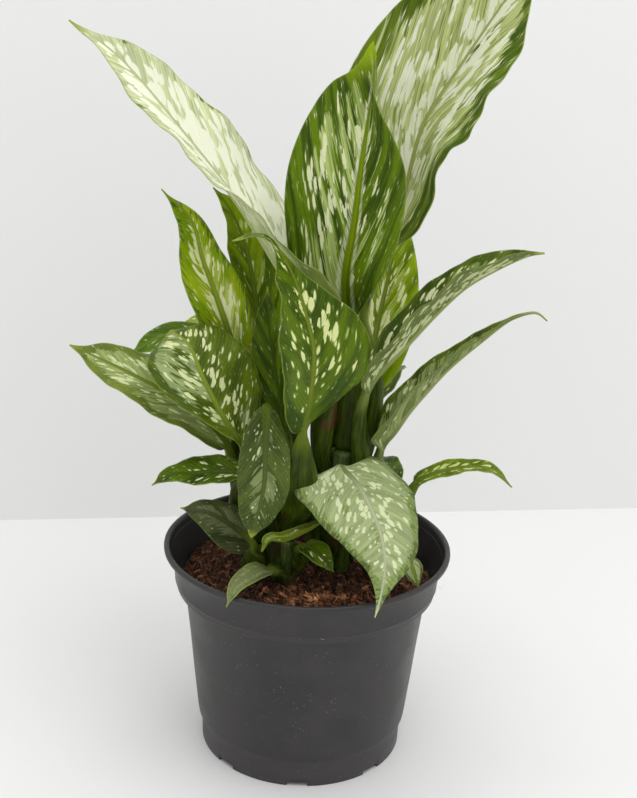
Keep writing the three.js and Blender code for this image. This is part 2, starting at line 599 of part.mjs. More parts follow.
for (const [name, leaf] of Object.entries(leaves)) {
  addPiece(`leaf_${name}`, leafGeometry(leaf), leaf.half[1] > 25 ? paleGreen : leafGreen);
}

export default plant;
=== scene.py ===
# %% [markdown]
# A potted dieffenbachia
#
# The real object is a young house plant: a few short canes in a round nursery pot, each with long leaves
# whose stalks clasp the cane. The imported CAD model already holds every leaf, cane, the soil and the pot
# as plain solids. This lesson replaces each of them with a finer mesh on the same lines and gives it its
# colour. We work in millimetres, as the CAD does, and turn to Blender's metres where a mesh is made.

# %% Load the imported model
import math
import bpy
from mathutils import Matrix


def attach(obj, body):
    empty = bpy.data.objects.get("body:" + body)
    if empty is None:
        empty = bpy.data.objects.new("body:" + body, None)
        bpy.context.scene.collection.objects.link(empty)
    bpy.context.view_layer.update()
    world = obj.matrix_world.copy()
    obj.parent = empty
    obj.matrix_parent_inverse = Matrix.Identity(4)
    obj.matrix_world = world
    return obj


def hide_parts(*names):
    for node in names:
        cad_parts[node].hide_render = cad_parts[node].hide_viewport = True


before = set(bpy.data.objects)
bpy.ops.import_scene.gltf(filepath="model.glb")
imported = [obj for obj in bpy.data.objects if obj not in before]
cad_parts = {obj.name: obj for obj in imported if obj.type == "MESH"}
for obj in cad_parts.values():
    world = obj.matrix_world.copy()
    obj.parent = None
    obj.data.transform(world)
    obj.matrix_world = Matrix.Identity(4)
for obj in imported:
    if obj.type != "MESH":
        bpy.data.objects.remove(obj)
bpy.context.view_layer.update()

from types import SimpleNamespace

import bpy
import numpy as np
from mathutils import Matrix, Vector

# %% [markdown]
# The camera
#
# A photograph fixes where the camera stood. Here the pot's rim and foot gave it: almost 70 centimetres in
# front of the plant, above the rim and looking down 18 degrees. The three turns could be typed in as
# angles, but they only work in the right order. We build the camera's axes from them instead, and hand
# Blender the finished matrix.

# %% Camera
SENSOR_WIDTH = 36
LENS = 56.39
CAMERA_PLACE = (0, -0.681, 0.442)
PITCH, YAW, ROLL = 18.25, 0.26, 2.34


def camera_axes(pitch, yaw, roll):
    forward = Vector((math.sin(yaw) * math.cos(pitch), math.cos(yaw) * math.cos(pitch), -math.sin(pitch)))
    level = forward.cross(Vector((0, 0, 1))).normalized()
    above = level.cross(forward)
    right = math.cos(roll) * level + math.sin(roll) * above
    return right, right.cross(forward), forward


right, above, forward = camera_axes(*map(math.radians, (PITCH, YAW, ROLL)))
camera = bpy.data.objects.new("camera", bpy.data.cameras.new("camera"))
camera.data.sensor_width = SENSOR_WIDTH
camera.data.lens = LENS
turned = Matrix((right, above, -forward)).transposed().to_4x4()
camera.matrix_world = Matrix.Translation(CAMERA_PLACE) @ turned
bpy.context.scene.collection.objects.link(camera)
bpy.context.scene.camera = camera
print("lens", LENS, "mm, looking down", PITCH, "degrees")

# %% [markdown]
# A mesh and a finish
#
# Each piece of the plant is an object with a mesh, and a finish that gives its colour and gloss. They
# could be made by hand in Blender's editors, but a script makes them the same way each time. The first
# helper turns lists of points and faces into an object that rides on the plant. The others start a
# material and add nodes to it, and fill a node's socket with a plain value or another node's output.

# %% Pieces and finishes
MM = 0.001


def piece(name, points, faces, finish, slot=None, smooth=True):
    mesh = bpy.data.meshes.new(name)
    mesh.from_pydata((np.asarray(points) * MM).tolist(), [], [list(map(int, face)) for face in faces])
    mesh.polygons.foreach_set("use_smooth", [smooth] * len(mesh.polygons))
    mesh.materials.append(finish)
    made = bpy.data.objects.new(name, mesh)
    bpy.context.scene.collection.objects.link(made)
    if slot:
        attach(made, "root")
    return made


def new_finish(name, roughness=0.5):
    finish = bpy.data.materials.new(name)
    finish.use_nodes = True
    tree = finish.node_tree
    shader = tree.nodes["Principled BSDF"]
    shader.inputs["Roughness"].default_value = roughness
    return finish, tree, shader


def add(tree, kind, sockets=None, **settings):
    node = tree.nodes.new(kind)
    for key, value in settings.items():
        setattr(node, key, value)
    for key, value in (sockets or {}).items():
        if isinstance(value, bpy.types.NodeSocket):
            tree.links.new(value, node.inputs[key])
        else:
            node.inputs[key].default_value = value
    return node


print("one millimetre is", MM, "in Blender")

# %% [markdown]
# Floor and wall
#
# The photograph has a white floor that meets a pale wall behind the plant, a little askew. A room could
# be modelled, but two plain rectangles look the same from here. The wall is see-through from behind, so
# that the plant can also be looked at from the back. Both belong to the stage and not to the plant.

# %% Floor and wall
FLOOR_REACH = 3000
FLOOR_WHITE = (0.86, 0.855, 0.845, 1)
WALL_LEFT, WALL_RIGHT = (-1500, 117), (1500, 551)
WALL_HEIGHT = 2500
WALL_WHITE = (0.83, 0.83, 0.82, 1)
FOUR_CORNERS = [(0, 1, 2, 3)]

floor_finish, tree, shader = new_finish("white floor", 0.55)
shader.inputs["Base Color"].default_value = FLOOR_WHITE
floor_corners = [(x * FLOOR_REACH, y * FLOOR_REACH, 0) for x, y in ((-1, -1), (1, -1), (1, 1), (-1, 1))]
floor = piece("floor", floor_corners, FOUR_CORNERS, floor_finish)

wall_finish, tree, shader = new_finish("pale wall", 0.9)
shader.inputs["Base Color"].default_value = WALL_WHITE
behind = add(tree, "ShaderNodeNewGeometry").outputs["Backfacing"]
open_side = add(tree, "ShaderNodeBsdfTransparent")
swap = add(tree, "ShaderNodeMixShader", {0: behind, 1: shader.outputs[0], 2: open_side.outputs[0]})
tree.links.new(swap.outputs[0], tree.nodes["Material Output"].inputs["Surface"])
wall_foot = [(*WALL_LEFT, 0), (*WALL_RIGHT, 0)]
wall_top = [(*WALL_RIGHT, WALL_HEIGHT), (*WALL_LEFT, WALL_HEIGHT)]
wall = piece("wall", wall_foot + wall_top, FOUR_CORNERS, wall_finish)
print("floor and wall set")

# %% [markdown]
# Light
#
# The photograph's light is broad and soft, as from a big window. A small bright lamp would throw hard
# shadows, so we use wide ones. A big lamp above, in front and to the right gives the soft shadow on the
# left. A weaker one above and behind the plant shines through its leaves, and a pale world fills in the
# rest.

# %% Light
SKY_WHITE = (0.98, 0.99, 1.0, 1)
SKY_STRENGTH = 0.88

world = bpy.data.worlds.new("studio")
world.use_nodes = True
sky = world.node_tree.nodes["Background"].inputs
sky["Color"].default_value = SKY_WHITE
sky["Strength"].default_value = SKY_STRENGTH
bpy.context.scene.world = world
bpy.context.scene.view_settings.view_transform = "Standard"


def lamp(name, place, target, size, power):
    light = bpy.data.lights.new(name, "AREA")
    light.shape = "RECTANGLE"
    light.size, light.size_y = size
    light.energy = power
    made = bpy.data.objects.new(name, light)
    made.location = place
    made.rotation_euler = (Vector(target) - Vector(place)).to_track_quat("-Z", "Y").to_euler()
    bpy.context.scene.collection.objects.link(made)
    print(name, power, "watts")


lamp("soft lamp above", place=(0.5, -0.55, 1.48), target=(0, 0, 0.2), size=(1.2, 1.0), power=6.9)
lamp("soft lamp behind", place=(-0.15, 0.25, 1.35), target=(0, 0.05, 0.25), size=(1.2, 0.5), power=3.5)

# %% [markdown]
# The canes
#
# Each cane is a short upright stem with a ring where an old leaf sat. It starts under the soil, where its
# roots would be. The table gives where it leaves the soil, where its top is, and its radius. The leaves
# need to know where a cane is at any height, so we keep its axis with it.

# %% Where the canes stand
CANES = {
    "main": dict(foot=(17, 8), top=(20, 6, 186), radius=8.5),
    "left": dict(foot=(-20, 6), top=(-27, 4, 162), radius=7),
    "side": dict(foot=(-31, -12), top=(-31, -14, 132), radius=4.5),
    "front": dict(foot=(-11, -16), top=(-11, -20, 138), radius=4.5),
    "right": dict(foot=(44, -4), top=(47, -4, 134), radius=5),
    "back": dict(foot=(8, 38), top=(10, 44, 165), radius=7.5),
}
SOIL_LEVEL = 107
ROOT_DEPTH = 40


def unit(vector):
    return np.asarray(vector, float) / np.linalg.norm(vector)


def on_cane(cane, height):
    share = (height - cane["start"][2]) / (cane["top"][2] - cane["start"][2])
    return cane["start"] + share * (cane["top"] - cane["start"])


for name, cane in CANES.items():
    cane["top"] = np.array(cane["top"], float)
    ground = np.array([*cane["foot"], SOIL_LEVEL], float)
    cane["up"] = unit(cane["top"] - ground)
    cane["start"] = ground - ROOT_DEPTH * cane["up"]
    cane["length"] = np.linalg.norm(cane["top"] - cane["start"])
    print(name, "cane,", round(cane["length"]), "mm long")

# %% [markdown]
# A cane could be one cylinder, but its rings are what a gardener sees. So we make it as a stack of round
# rows along its own axis, a millimetre apart, and let the radius swell a little at each ring. One helper
# joins any stack of closed rows into a skin. It'll serve the pot and the soil as well.

# %% Shape of a cane
CANE_SIDES = 40
ROW_SPACING = 1.0
RING_SPACING = 13
RING_SWELL, RING_WIDTH = 0.35, 1.2
FIRST_RING = 6
ROUNDED_END = 3


def loft(rings):
    count = len(rings[0])
    faces = []
    for ring in range(len(rings) - 1):
        for k in range(count):
            a, b = ring * count + k, ring * count + (k + 1) % count
            faces.append((a, b, b + count, a + count))
    points = np.concatenate(rings)
    first_end = list(range(count))[::-1]
    last_end = [len(points) - count + k for k in range(count)]
    return points, faces + [first_end, last_end]


def cane_mesh(cane):
    side = unit(np.cross(cane["up"], (0, 1, 0)))
    ahead = np.cross(cane["up"], side)
    turns = np.linspace(0, 2 * np.pi, CANE_SIDES, endpoint=False)
    arms = np.outer(np.cos(turns), side) + np.outer(np.sin(turns), ahead)
    rings = []
    for z in np.arange(0, cane["length"] + 0.1, ROW_SPACING):
        past_ring = (z - ROOT_DEPTH - FIRST_RING) % RING_SPACING
        swell = RING_SWELL * math.exp(-(min(past_ring, RING_SPACING - past_ring) / RING_WIDTH) ** 2)
        taper = 1 - 0.25 * max(0, (z - cane["length"] + ROUNDED_END) / ROUNDED_END) ** 2
        radius = (cane["radius"] - 0.4 + swell) * taper + 0.15 * np.sin(3 * turns + z / 9)
        rings.append(cane["start"] + z * cane["up"] + radius[:, None] * arms)
    return loft(rings)


print("rows of the main cane", len(cane_mesh(CANES["main"])[0]) // CANE_SIDES)

# %% [markdown]
# The cane's green runs in fine lengthwise streaks, with brown corky patches. An image could be painted
# for each cane, but noise does it for all: it gives every place in the object a number from 0 to 1. We
# stretch it along the cane, let a smooth ramp pick out a range of it, and blend two colours by that. The
# node that blends can also mix numbers and vectors, so its colour sockets are picked by their place.

# %% Finish of a cane
CANE_DARK, CANE_LIGHT = (0.045, 0.085, 0.010), (0.12, 0.19, 0.03)
CORKY_BROWN = (0.10, 0.07, 0.03)
BLEND_SHARE, BLEND_A, BLEND_B, BLENDED = 0, 6, 7, 2


def object_place(tree):
    return add(tree, "ShaderNodeTexCoord").outputs["Object"]


def stretched(tree, vector, scale, shift=(0, 0, 0)):
    return add(tree, "ShaderNodeMapping", {"Vector": vector, "Location": shift, "Scale": scale}).outputs[0]


def noise(tree, vector, size, detail=2.0, roughness=0.5):
    sockets = {"Vector": vector, "Scale": size, "Detail": detail, "Roughness": roughness}
    return add(tree, "ShaderNodeTexNoise", sockets).outputs["Fac"]


def ramp(tree, value, low, high, start=0.0, end=1.0):
    sockets = {"Value": value, "From Min": low, "From Max": high, "To Min": start, "To Max": end}
    return add(tree, "ShaderNodeMapRange", sockets, interpolation_type="SMOOTHSTEP").outputs["Result"]


def blend(tree, share, a, b, mode="MIX"):
    a, b = (value if isinstance(value, bpy.types.NodeSocket) else (*value, 1) for value in (a, b))
    sockets = {BLEND_SHARE: share, BLEND_A: a, BLEND_B: b}
    return add(tree, "ShaderNodeMix", sockets, data_type="RGBA", blend_type=mode).outputs[BLENDED]


cane_finish, tree, shader = new_finish("green cane", 0.42)
place = object_place(tree)
streaks = noise(tree, stretched(tree, place, (900, 900, 60)), 1.0)
green = blend(tree, ramp(tree, streaks, 0.35, 0.7), CANE_DARK, CANE_LIGHT)
corky = ramp(tree, noise(tree, place, 60.0, 4.0), 0.52, 0.66)
tree.links.new(blend(tree, corky, green, CORKY_BROWN), shader.inputs["Base Color"])
for name, cane in CANES.items():
    made = piece(f"{name}_cane", *cane_mesh(cane), cane_finish, "cane")
    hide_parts(f"cane_{name}")
print("canes", len(CANES))

# %% [markdown]
# The leaves' shapes
#
# A leaf is a sheath round its cane, a stalk, and a blade that grows to both sides of a rib. Modelling
# thirty-one leaves by hand would take days. Instead the table holds each leaf as a maker would note it,
# one function makes them all, and a leaf is corrected in its own lines.
#
# The sheath sits on its `cane`, on the side that `turn` gives in degrees and at the height `foot`. A leaf
# that is turned to the top has no sheath and stands on the cane's end. `stalk` and `rib` are points of
# the middle line, and `stem` is the stalk's radius. `face` is the way the upper side looks, at the
# blade's start and at its tip. For the left and the right half, or with one number for both, `half` is
# the width, `fold` how steeply it rises from the rib, and `bend` how much more at the margin. `roll` and
# `curl` add to the fold at the start and at the tip. `round` and `sharp` shape the outline's start and
# end, and `lobe` is how far it reaches back past the stalk. `wave` gives the height, number and start of
# the margin's waves, `rake` how steeply the side veins run, and `drip` a long drawn-out tip.

# %% Leaf table
LEAVES = {
    "spear": dict(
        cane="main", turn="top", stem=5, stalk=[[21, 5, 225]],
        rib=[[19, 4, 258], [16, -3, 290], [19, -8, 320], [21, -12, 350], [24, -12, 379], [26, -9, 399],
             [24, -6, 416]], rake=2.1,
        face=[[-0.2, -0.97, 0.12], [-0.2, -0.95, 0.15]], half=[40, 34], fold=[8, 42], bend=[-10, -18],
        roll=[10, 0], curl=[0, 62], wave=[0.8, 2, 0.1], round=[0.7, 1.2], sharp=[0.75, 1.3],
    ),
    "crown": dict(
        cane="main", turn=25, foot=158, stem=5.8, stalk=[[32, 14, 222]],
        rib=[[27, 13, 262], [35, 15, 300], [46, 17, 331], [55, 19, 372], [73, 15, 405], [93, 4, 440],
             [110, -11, 468]], rake=2.1,
        face=[[-0.5, -0.8, 0.1], [-0.5, -0.85, 0.05]], half=[50, 44], fold=[36, 34], bend=[-8, 6],
        roll=[-6, 0], wave=[2.4, 4, 0.2], round=[0.9, 1.3], sharp=[0.7, 0.8],
    ),
    "top_left": dict(
        cane="main", turn=185, foot=158, stem=6.6, stalk=[[6.5, 3, 190], [8, 3, 222]],
        rib=[[6, -2, 248], [-3, -4, 268], [-18, -4, 288], [-33, -3, 311], [-47, -3, 331], [-75, -8, 366],
             [-107, -15, 403], [-131, -22, 421]], rake=1.5,
        face=[[0.5, 0.35, 0.8], [0.2, -0.75, 0.6]], half=[29, 41], fold=[20, 22], bend=-10, roll=[36, 12],
        wave=[2, 4, 0.6], round=0.42, sharp=[0.85, 1.1],
    ),
    "front": dict(
        cane="front", turn="top", stem=6.5, stalk=[[-7, -27, 157], [-5.5, -36, 184]],
        rib=[[-5, -42, 210], [-2, -47, 235], [-1, -50, 259], [-5, -51, 277], [-12, -53, 298],
             [-20, -56, 313], [-27, -61, 322], [-34, -66, 324], [-43, -71, 321]], rake=1.0,
        face=[[0.1, -0.95, 0.2], [0.3, -0.6, 0.7]], half=[28, 36], fold=[44, 12], bend=[-16, -20],
        roll=[20, -56], curl=[0, 50], wave=[1.6, 3, 0.4], round=[0.7, 2], sharp=[0.9, 4.5], lobe=4,
    ),
    "left_tall": dict(
        cane="left", turn=102, foot=137, stalk=[[-36, 22, 190]],
        rib=[[-46, 16, 236], [-57, 11, 272], [-65, 9, 294], [-71, 6, 316], [-87, 0, 334]], rake=2.0,
        face=[[0.2, -0.9, 0.2], [0.3, -0.9, 0.3]], half=[16, 17], fold=[14, 20], bend=-12, roll=10,
        wave=[1.4, 3, 0.3], round=0.6, sharp=[1.0, 1.5], lobe=3,
    ),
    "left_narrow": dict(
        cane="left", turn="top", stalk=[[-29, 10, 200]],
        rib=[[-31, 23, 239], [-36, 30, 266], [-40, 31, 288], [-46, 26, 309], [-53, 19, 324],
             [-60, 13, 334]], rake=2.2,
        face=[[0.3, -0.9, 0.2], [0.5, -0.8, 0.3]], half=[15, 17], fold=20, bend=-12, roll=10,
        wave=[1.2, 3, 0.8], round=0.6, sharp=1.0, lobe=2,
    ),
    "behind_crown": dict(
        cane="main", turn=85, foot=136, stalk=[[26, 26, 180]],
        rib=[[31, 33, 212], [36, 38, 250], [42, 42, 286], [46, 44, 326]], rake=2.0,
        face=[[0.1, -0.95, 0.3], [0.1, -0.9, 0.3]], half=[20, 22], fold=16, bend=-10, roll=10,
        wave=[1.4, 3, 0.2], round=0.6, sharp=1.0, lobe=4,
    ),
    "right_upper": dict(
        cane="main", turn=320, foot=134, stem=4.6, stalk=[[29, -2, 184], [26, -9, 208]],
        rib=[[29, -16, 227], [36, -18, 240], [49, -20, 256], [65, -22, 276], [80, -24, 292],
             [98, -26, 304], [111, -28, 311], [119, -30, 313]],
        face=[[-0.8, -0.15, 0.6], [-0.35, -0.1, 0.93]], half=[17, 20], fold=50, bend=-12,
        wave=[1.2, 4, 0.2], round=0.5, sharp=0.75, lobe=2,
    ),
    "right_middle": dict(
        cane="main", turn=20, foot=112, stem=3.6, stalk=[[36, 12, 150]],
        rib=[[40, 1, 188], [47, -3, 200], [55, -5, 214], [64, -5, 226], [75, -6, 240], [93, -8, 258],
             [109, -10, 272], [121, -12, 276], [127, -13, 272]],
        face=[[-0.75, -0.1, 0.65], [-0.5, -0.1, 0.85]], half=[15, 17], fold=[52, 48], bend=-10,
        wave=[1, 4, 0.5], round=[0.36, 0.32], sharp=1.5, lobe=1,
    ),
    "right_hanging": dict(
        cane="right", turn=205, foot=112, stalk=[[31, -16, 152], [20, -15, 178]],
        rib=[[17, -21, 184], [26, -34, 180], [32, -45, 174], [39, -57, 162], [42, -71, 150],
             [40, -83, 136], [37, -92, 128]], rake=0.7,
        face=[[0.1, -0.3, 0.95], [0.1, -0.85, 0.5]], half=[29, 34], fold=8, bend=-28, wave=[1.2, 3, 0.2],
        round=[0.3, 0.16], sharp=1.05, lobe=[12, 8], drip=(0.6, 0.6, 0.36),
    ),
    "right_small": dict(
        cane="right", turn=20, foot=116, stalk=[[54, 2, 144]],
        rib=[[62, 6, 164], [77, 5, 173], [92, 2, 178], [106, -3, 179], [117, -9, 171]],
        face=[[-0.3, -0.4, 0.9], [0.3, -0.4, 0.9]], half=7, fold=24, bend=-14, roll=10,
        wave=[0.6, 3, 0.2], round=0.4, sharp=0.9, lobe=2,
    ),
    "right_low": dict(
        cane="right", turn=292, foot=111, stalk=[[50, -18, 126]],
        rib=[[53, -26, 129], [59, -31, 130], [64, -38, 119]],
        face=[[0, -0.2, 1], [0.4, -0.5, 0.7]], half=7, fold=12, bend=-20, wave=[0.3, 2, 0.2], round=0.6,
        sharp=1.0, lobe=1,
    ),
    "left_round": dict(
        cane="left", turn=285, foot=134, stalk=[[-30, -12, 172]],
        rib=[[-37, -20, 191], [-50, -25, 213], [-61, -23, 234], [-70, -13, 250], [-82, 2, 254]], rake=0.9,
        face=[[0.3, -0.8, 0.5], [-0.3, -0.2, 1]], half=[27, 31], fold=12, bend=-16, roll=[36, 0],
        wave=[1.8, 3, 0.1], round=[1.9, 0.7], sharp=0.8, lobe=2,
    ),
    "left_inner": dict(
        cane="left", turn=350, foot=134, stem=3.6, stalk=[[-14, 0, 172]],
        rib=[[-14, -6, 194], [-17, -6, 214], [-22, -2, 236], [-26, 2, 258], [-28, 5, 281]], rake=2.2,
        face=[[-0.5, -0.85, 0.1], [-0.3, -0.9, 0.2]], half=[14, 13], fold=34, bend=-12, roll=10,
        wave=[1, 3, 0.7], round=0.6, sharp=0.9, lobe=2,
    ),
    "left_curled": dict(
        cane="left", turn=161, foot=112, stalk=[[-42, 15, 168]],
        rib=[[-54, 24, 212], [-63, 27, 236], [-85, 26, 245], [-109, 19, 233]],
        face=[[0.4, -0.6, 0.7], [-0.2, -0.4, 0.9]], half=[18, 11], fold=20, bend=-14, roll=10,
        wave=[1, 2, 0.1], round=0.6, sharp=0.9, lobe=3,
    ),
    "left_long": dict(
        cane="left", turn=226, foot=112, stalk=[[-41, -1, 156]],
        rib=[[-48, 2, 184], [-72, 1, 209], [-106, -1, 229], [-139, -1, 244]], rake=1.7,
        face=[[0.4, -0.5, 0.8], [0.1, -0.6, 0.8]], half=20, fold=14, bend=-14, roll=10,
        wave=[1.4, 3, 0.4], round=0.6, sharp=0.85, lobe=4,
    ),
    "left_lower": dict(
        cane="side", turn=175, foot=111, stalk=[[-42, -14, 160]],
        rib=[[-38, -18, 176], [-50, -20, 178], [-68, -22, 177], [-80, -24, 176], [-89, -27, 171]],
        face=[[0.1, -0.6, 0.8], [-0.2, -0.5, 0.8]], half=[9, 11], fold=14, bend=-14, roll=10,
        wave=[0.8, 3, 0.2], round=0.6, sharp=1.0, lobe=2,
    ),
    "front_hanging": dict(
        cane="side", turn="top", stalk=[[-24, -19, 162], [-20, -23, 203]],
        rib=[[-25, -31, 222], [-25, -41, 206], [-25, -49, 182], [-31, -55, 154]],
        face=[[0.1, -0.5, 0.8], [0.1, -0.95, 0.2]], half=[14, 15], fold=10, bend=-24, roll=10,
        wave=[1, 3, 0.3], round=0.7, sharp=0.7, lobe=3,
    ),
    "left_low": dict(
        cane="side", turn=270, foot=111, stalk=[[-30, -26, 130]],
        rib=[[-32, -29, 139], [-42, -31, 149], [-57, -32, 158], [-72, -34, 161]],
        face=[[0.5, -0.6, 0.6], [0.1, -0.7, 0.7]], half=[15, 12], fold=10, bend=-20, wave=[0.8, 2, 0.2],
        round=0.5, sharp=1.0, lobe=4,
    ),
    "front_small": dict(
        cane="front", turn=235, foot=111, stalk=[[-17, -30, 123]],
        rib=[[-20, -37, 126], [-25, -47, 131], [-31, -60, 134], [-38, -72, 133], [-42, -81, 125]],
        face=[[0.2, -0.3, 0.95], [0.1, -0.6, 0.8]], half=[7, 6], fold=16, bend=-14, roll=10,
        wave=[0.5, 2, 0.2], round=0.6, sharp=0.9, lobe=1,
    ),
    "front_rolled": dict(
        cane="main", turn=250, foot=111, stalk=[[12, -12, 146]],
        rib=[[8, -26, 154], [-1, -34, 151], [-13, -43, 148], [-21, -49, 150], [-25, -51, 144]],
        face=[[0.4, 0.2, 0.9], [-0.4, -0.2, 0.9]], half=5, fold=30, bend=30, roll=20, wave=[0.3, 2, 0.2],
        round=0.9, sharp=0.5,
    ),
    "front_curled": dict(
        cane="front", turn=325, foot=116, stalk=[[-4, -27, 134]],
        rib=[[-3, -33, 140], [2, -38, 141], [9, -42, 137], [15, -44, 130]],
        face=[[0.1, -0.5, 0.9], [0.3, -0.5, 0.8]], half=[8, 7], fold=14, bend=-16, wave=[0.6, 2, 0.2],
        round=0.6, sharp=0.9, lobe=1,
    ),
    "back_tall": dict(
        cane="back", turn="top", stalk=[[12, 52, 212]],
        rib=[[14, 60, 246], [17, 74, 284], [15, 94, 316], [9, 114, 330]],
        face=[[0, -0.8, 0.6], [-0.1, -0.4, 0.9]], half=24, fold=18, bend=-12, roll=16, wave=[1.6, 4, 0.3],
        round=0.5, sharp=0.95, lobe=5,
    ),
    "back_broad": dict(
        cane="back", turn=72, foot=136, stalk=[[12, 64, 184]],
        rib=[[13, 78, 206], [14, 98, 232], [10, 124, 244], [2, 148, 232]],
        face=[[0.1, -0.7, 0.7], [-0.1, 0.2, 1]], half=27, fold=14, bend=-18, roll=14, wave=[1.8, 4, 0.1],
        round=0.5, sharp=0.95, lobe=6,
    ),
    "back_right": dict(
        cane="back", turn=345, foot=136, stalk=[[28, 47, 172]],
        rib=[[32, 54, 186], [39, 70, 202], [45, 92, 207], [47, 112, 195]],
        face=[[-0.6, -0.3, 0.7], [0, 0.1, 1]], half=[20, 19], fold=18, bend=-14, roll=10,
        wave=[1.2, 3, 0.5], round=0.6, sharp=0.95, lobe=3,
    ),
    "back_left": dict(
        cane="back", turn=160, foot=136, stalk=[[-12, 52, 178]],
        rib=[[-22, 58, 202], [-42, 70, 228], [-66, 82, 240], [-90, 90, 232]],
        face=[[0.5, -0.4, 0.7], [-0.1, -0.1, 1]], half=21, fold=14, bend=-16, roll=12, wave=[1.4, 3, 0.2],
        round=0.55, sharp=0.95, lobe=4,
    ),
    "back_low_right": dict(
        cane="back", turn=42, foot=111, stalk=[[20, 58, 142]],
        rib=[[21, 68, 156], [24, 86, 170], [25, 106, 168], [24, 124, 150]],
        face=[[-0.3, -0.3, 0.9], [0.3, 0.6, 0.6]], half=14, fold=12, bend=-18, roll=10,
        wave=[0.9, 3, 0.3], round=0.55, sharp=0.95, lobe=3,
    ),
    "back_low_left": dict(
        cane="back", turn=112, foot=111, stalk=[[-2, 62, 138]],
        rib=[[-8, 70, 152], [-20, 86, 164], [-32, 104, 160], [-42, 120, 142]],
        face=[[0.3, -0.4, 0.8], [-0.3, 0.6, 0.6]], half=15, fold=12, bend=-18, roll=10,
        wave=[0.9, 3, 0.1], round=0.55, sharp=0.95, lobe=3,
    ),
    "left_behind": dict(
        cane="left", turn=43, foot=112, stalk=[[-22, 26, 164]],
        rib=[[-28, 38, 196], [-40, 52, 228], [-54, 66, 252], [-70, 78, 258]],
        face=[[0.4, -0.7, 0.6], [0, -0.2, 1]], half=18, fold=16, bend=-14, roll=12, wave=[1.2, 3, 0.4],
        round=0.55, sharp=0.95, lobe=3,
    ),
    "left_back": dict(
        cane="back", turn=200, foot=111, stalk=[[-14, 44, 148]],
        rib=[[-26, 48, 166], [-48, 56, 190], [-74, 64, 204], [-98, 70, 196]],
        face=[[0.4, -0.4, 0.8], [-0.2, 0.1, 1]], half=15, fold=14, bend=-16, roll=10, wave=[1, 3, 0.6],
        round=0.55, sharp=0.95, lobe=3,
    ),
    "right_back": dict(
        cane="right", turn=92, foot=112, stalk=[[46, 14, 138]],
        rib=[[46, 26, 149], [44, 46, 157], [41, 66, 157], [38, 84, 146]],
        face=[[0.1, -0.7, 0.7], [0, 0.3, 0.9]], half=14, fold=16, bend=-16, roll=10, wave=[1, 3, 0.2],
        round=0.55, sharp=0.95, lobe=3,
    ),
}
LEFT_AND_RIGHT = ("half", "fold", "bend", "roll", "curl", "round", "sharp", "lobe")


def pair(value):
    return list(value) if isinstance(value, (list, tuple)) else [value, value]


for leaf in LEAVES.values():
    leaf.update({key: pair(leaf.get(key, 0)) for key in LEFT_AND_RIGHT})
print("leaves in the table", len(LEAVES))

# %% [markdown]
# The middle line
#
# Each leaf's middle line runs up its stalk and along its rib. Straight pieces between the points would
# show as kinks, and a curve that only comes near them would be hard to steer. So we use a spline through
# all of them. It is timed by the root of their distances, which keeps it from looping where two points
# lie close together. Its stations are spaced evenly in length, so that the mesh's rows are too.

# %% Middle line
FINE_STATIONS = 241
NEARBY = 1e-4


def hermite(p1, p2, m1, m2, w):
    return ((2 * w**3 - 3 * w**2 + 1) * p1 + (w**3 - 2 * w**2 + w) * m1
            + (3 * w**2 - 2 * w**3) * p2 + (w**3 - w**2) * m2)


def middle_line(points):
    inner = np.array(points, float)
    chain = np.vstack([2 * inner[0] - inner[1], inner, 2 * inner[-1] - inner[-2]])
    spans = len(inner) - 1

    def at(t):
        t = min(max(t, 0.0), 1.0)
        i = min(int(t * spans), spans - 1)
        p0, p1, p2, p3 = chain[i:i + 4]
        d0, d1, d2 = (np.linalg.norm(b - a) ** 0.5 for a, b in ((p0, p1), (p1, p2), (p2, p3)))
        m1 = ((p1 - p0) / d0 - (p2 - p0) / (d0 + d1) + (p2 - p1) / d1) * d1
        m2 = ((p2 - p1) / d1 - (p3 - p1) / (d1 + d2) + (p3 - p2) / d2) * d1
        return hermite(p1, p2, m1, m2, t * spans - i)
    return at


def even_stations(at, start, end, count):
    ts = np.linspace(start, end, FINE_STATIONS)
    steps = np.linalg.norm(np.diff([at(t) for t in ts], axis=0), axis=1)
    reached = np.concatenate([[0], np.cumsum(steps)])
    return np.interp(np.linspace(0, reached[-1], count + 1), reached, ts), reached[-1]


def leaf_axes(at, t, face):
    along = unit(at(min(t + NEARBY, 1)) - at(max(t - NEARBY, 0)))
    up = unit(face - np.dot(face, along) * along)
    return at(t), along, up, np.cross(along, up)


for name in ("spear", "crown"):
    print(name, "rib", round(even_stations(middle_line(LEAVES[name]["rib"]), 0, 1, 10)[1]), "mm long")

# %% [markdown]
# Rows of a leaf
#
# The sheath is a thin curved strip on its cane, and the stalk is oval and a little winged at its foot.
# They could be separate tubes, but on the real plant they grow into the blade without a seam. So every
# row of the leaf's mesh has the same number of points on its upper and on its lower side. On the sheath
# they lie on two arcs round the cane, and on the stalk on an oval.

# %% Sheath and stalk rows
HALF_COLUMNS = 14
COLUMNS = 2 * HALF_COLUMNS + 1
SEAT_GAP = 0.3
SHEATH_THICKNESS = 2
SHEATH_REACH = math.radians(32)
SHEATH_HEIGHT = 22
STALK_RADIUS = 3
TOP_RISE = 7


def lerp(a, b, share):
    return a + (b - a) * share


def smooth(share):
    share = np.clip(share, 0, 1)
    return share * share * (3 - 2 * share)


def sheath_row(cane, turn, height, reach):
    angles = turn + reach - 2 * reach / (COLUMNS - 1) * np.arange(COLUMNS)
    arms = np.stack([np.cos(angles), np.sin(angles), 0 * angles], 1)
    gaps = (SEAT_GAP, SEAT_GAP + SHEATH_THICKNESS)
    return np.concatenate([on_cane(cane, height) + (cane["radius"] + gap) * arms for gap in gaps])


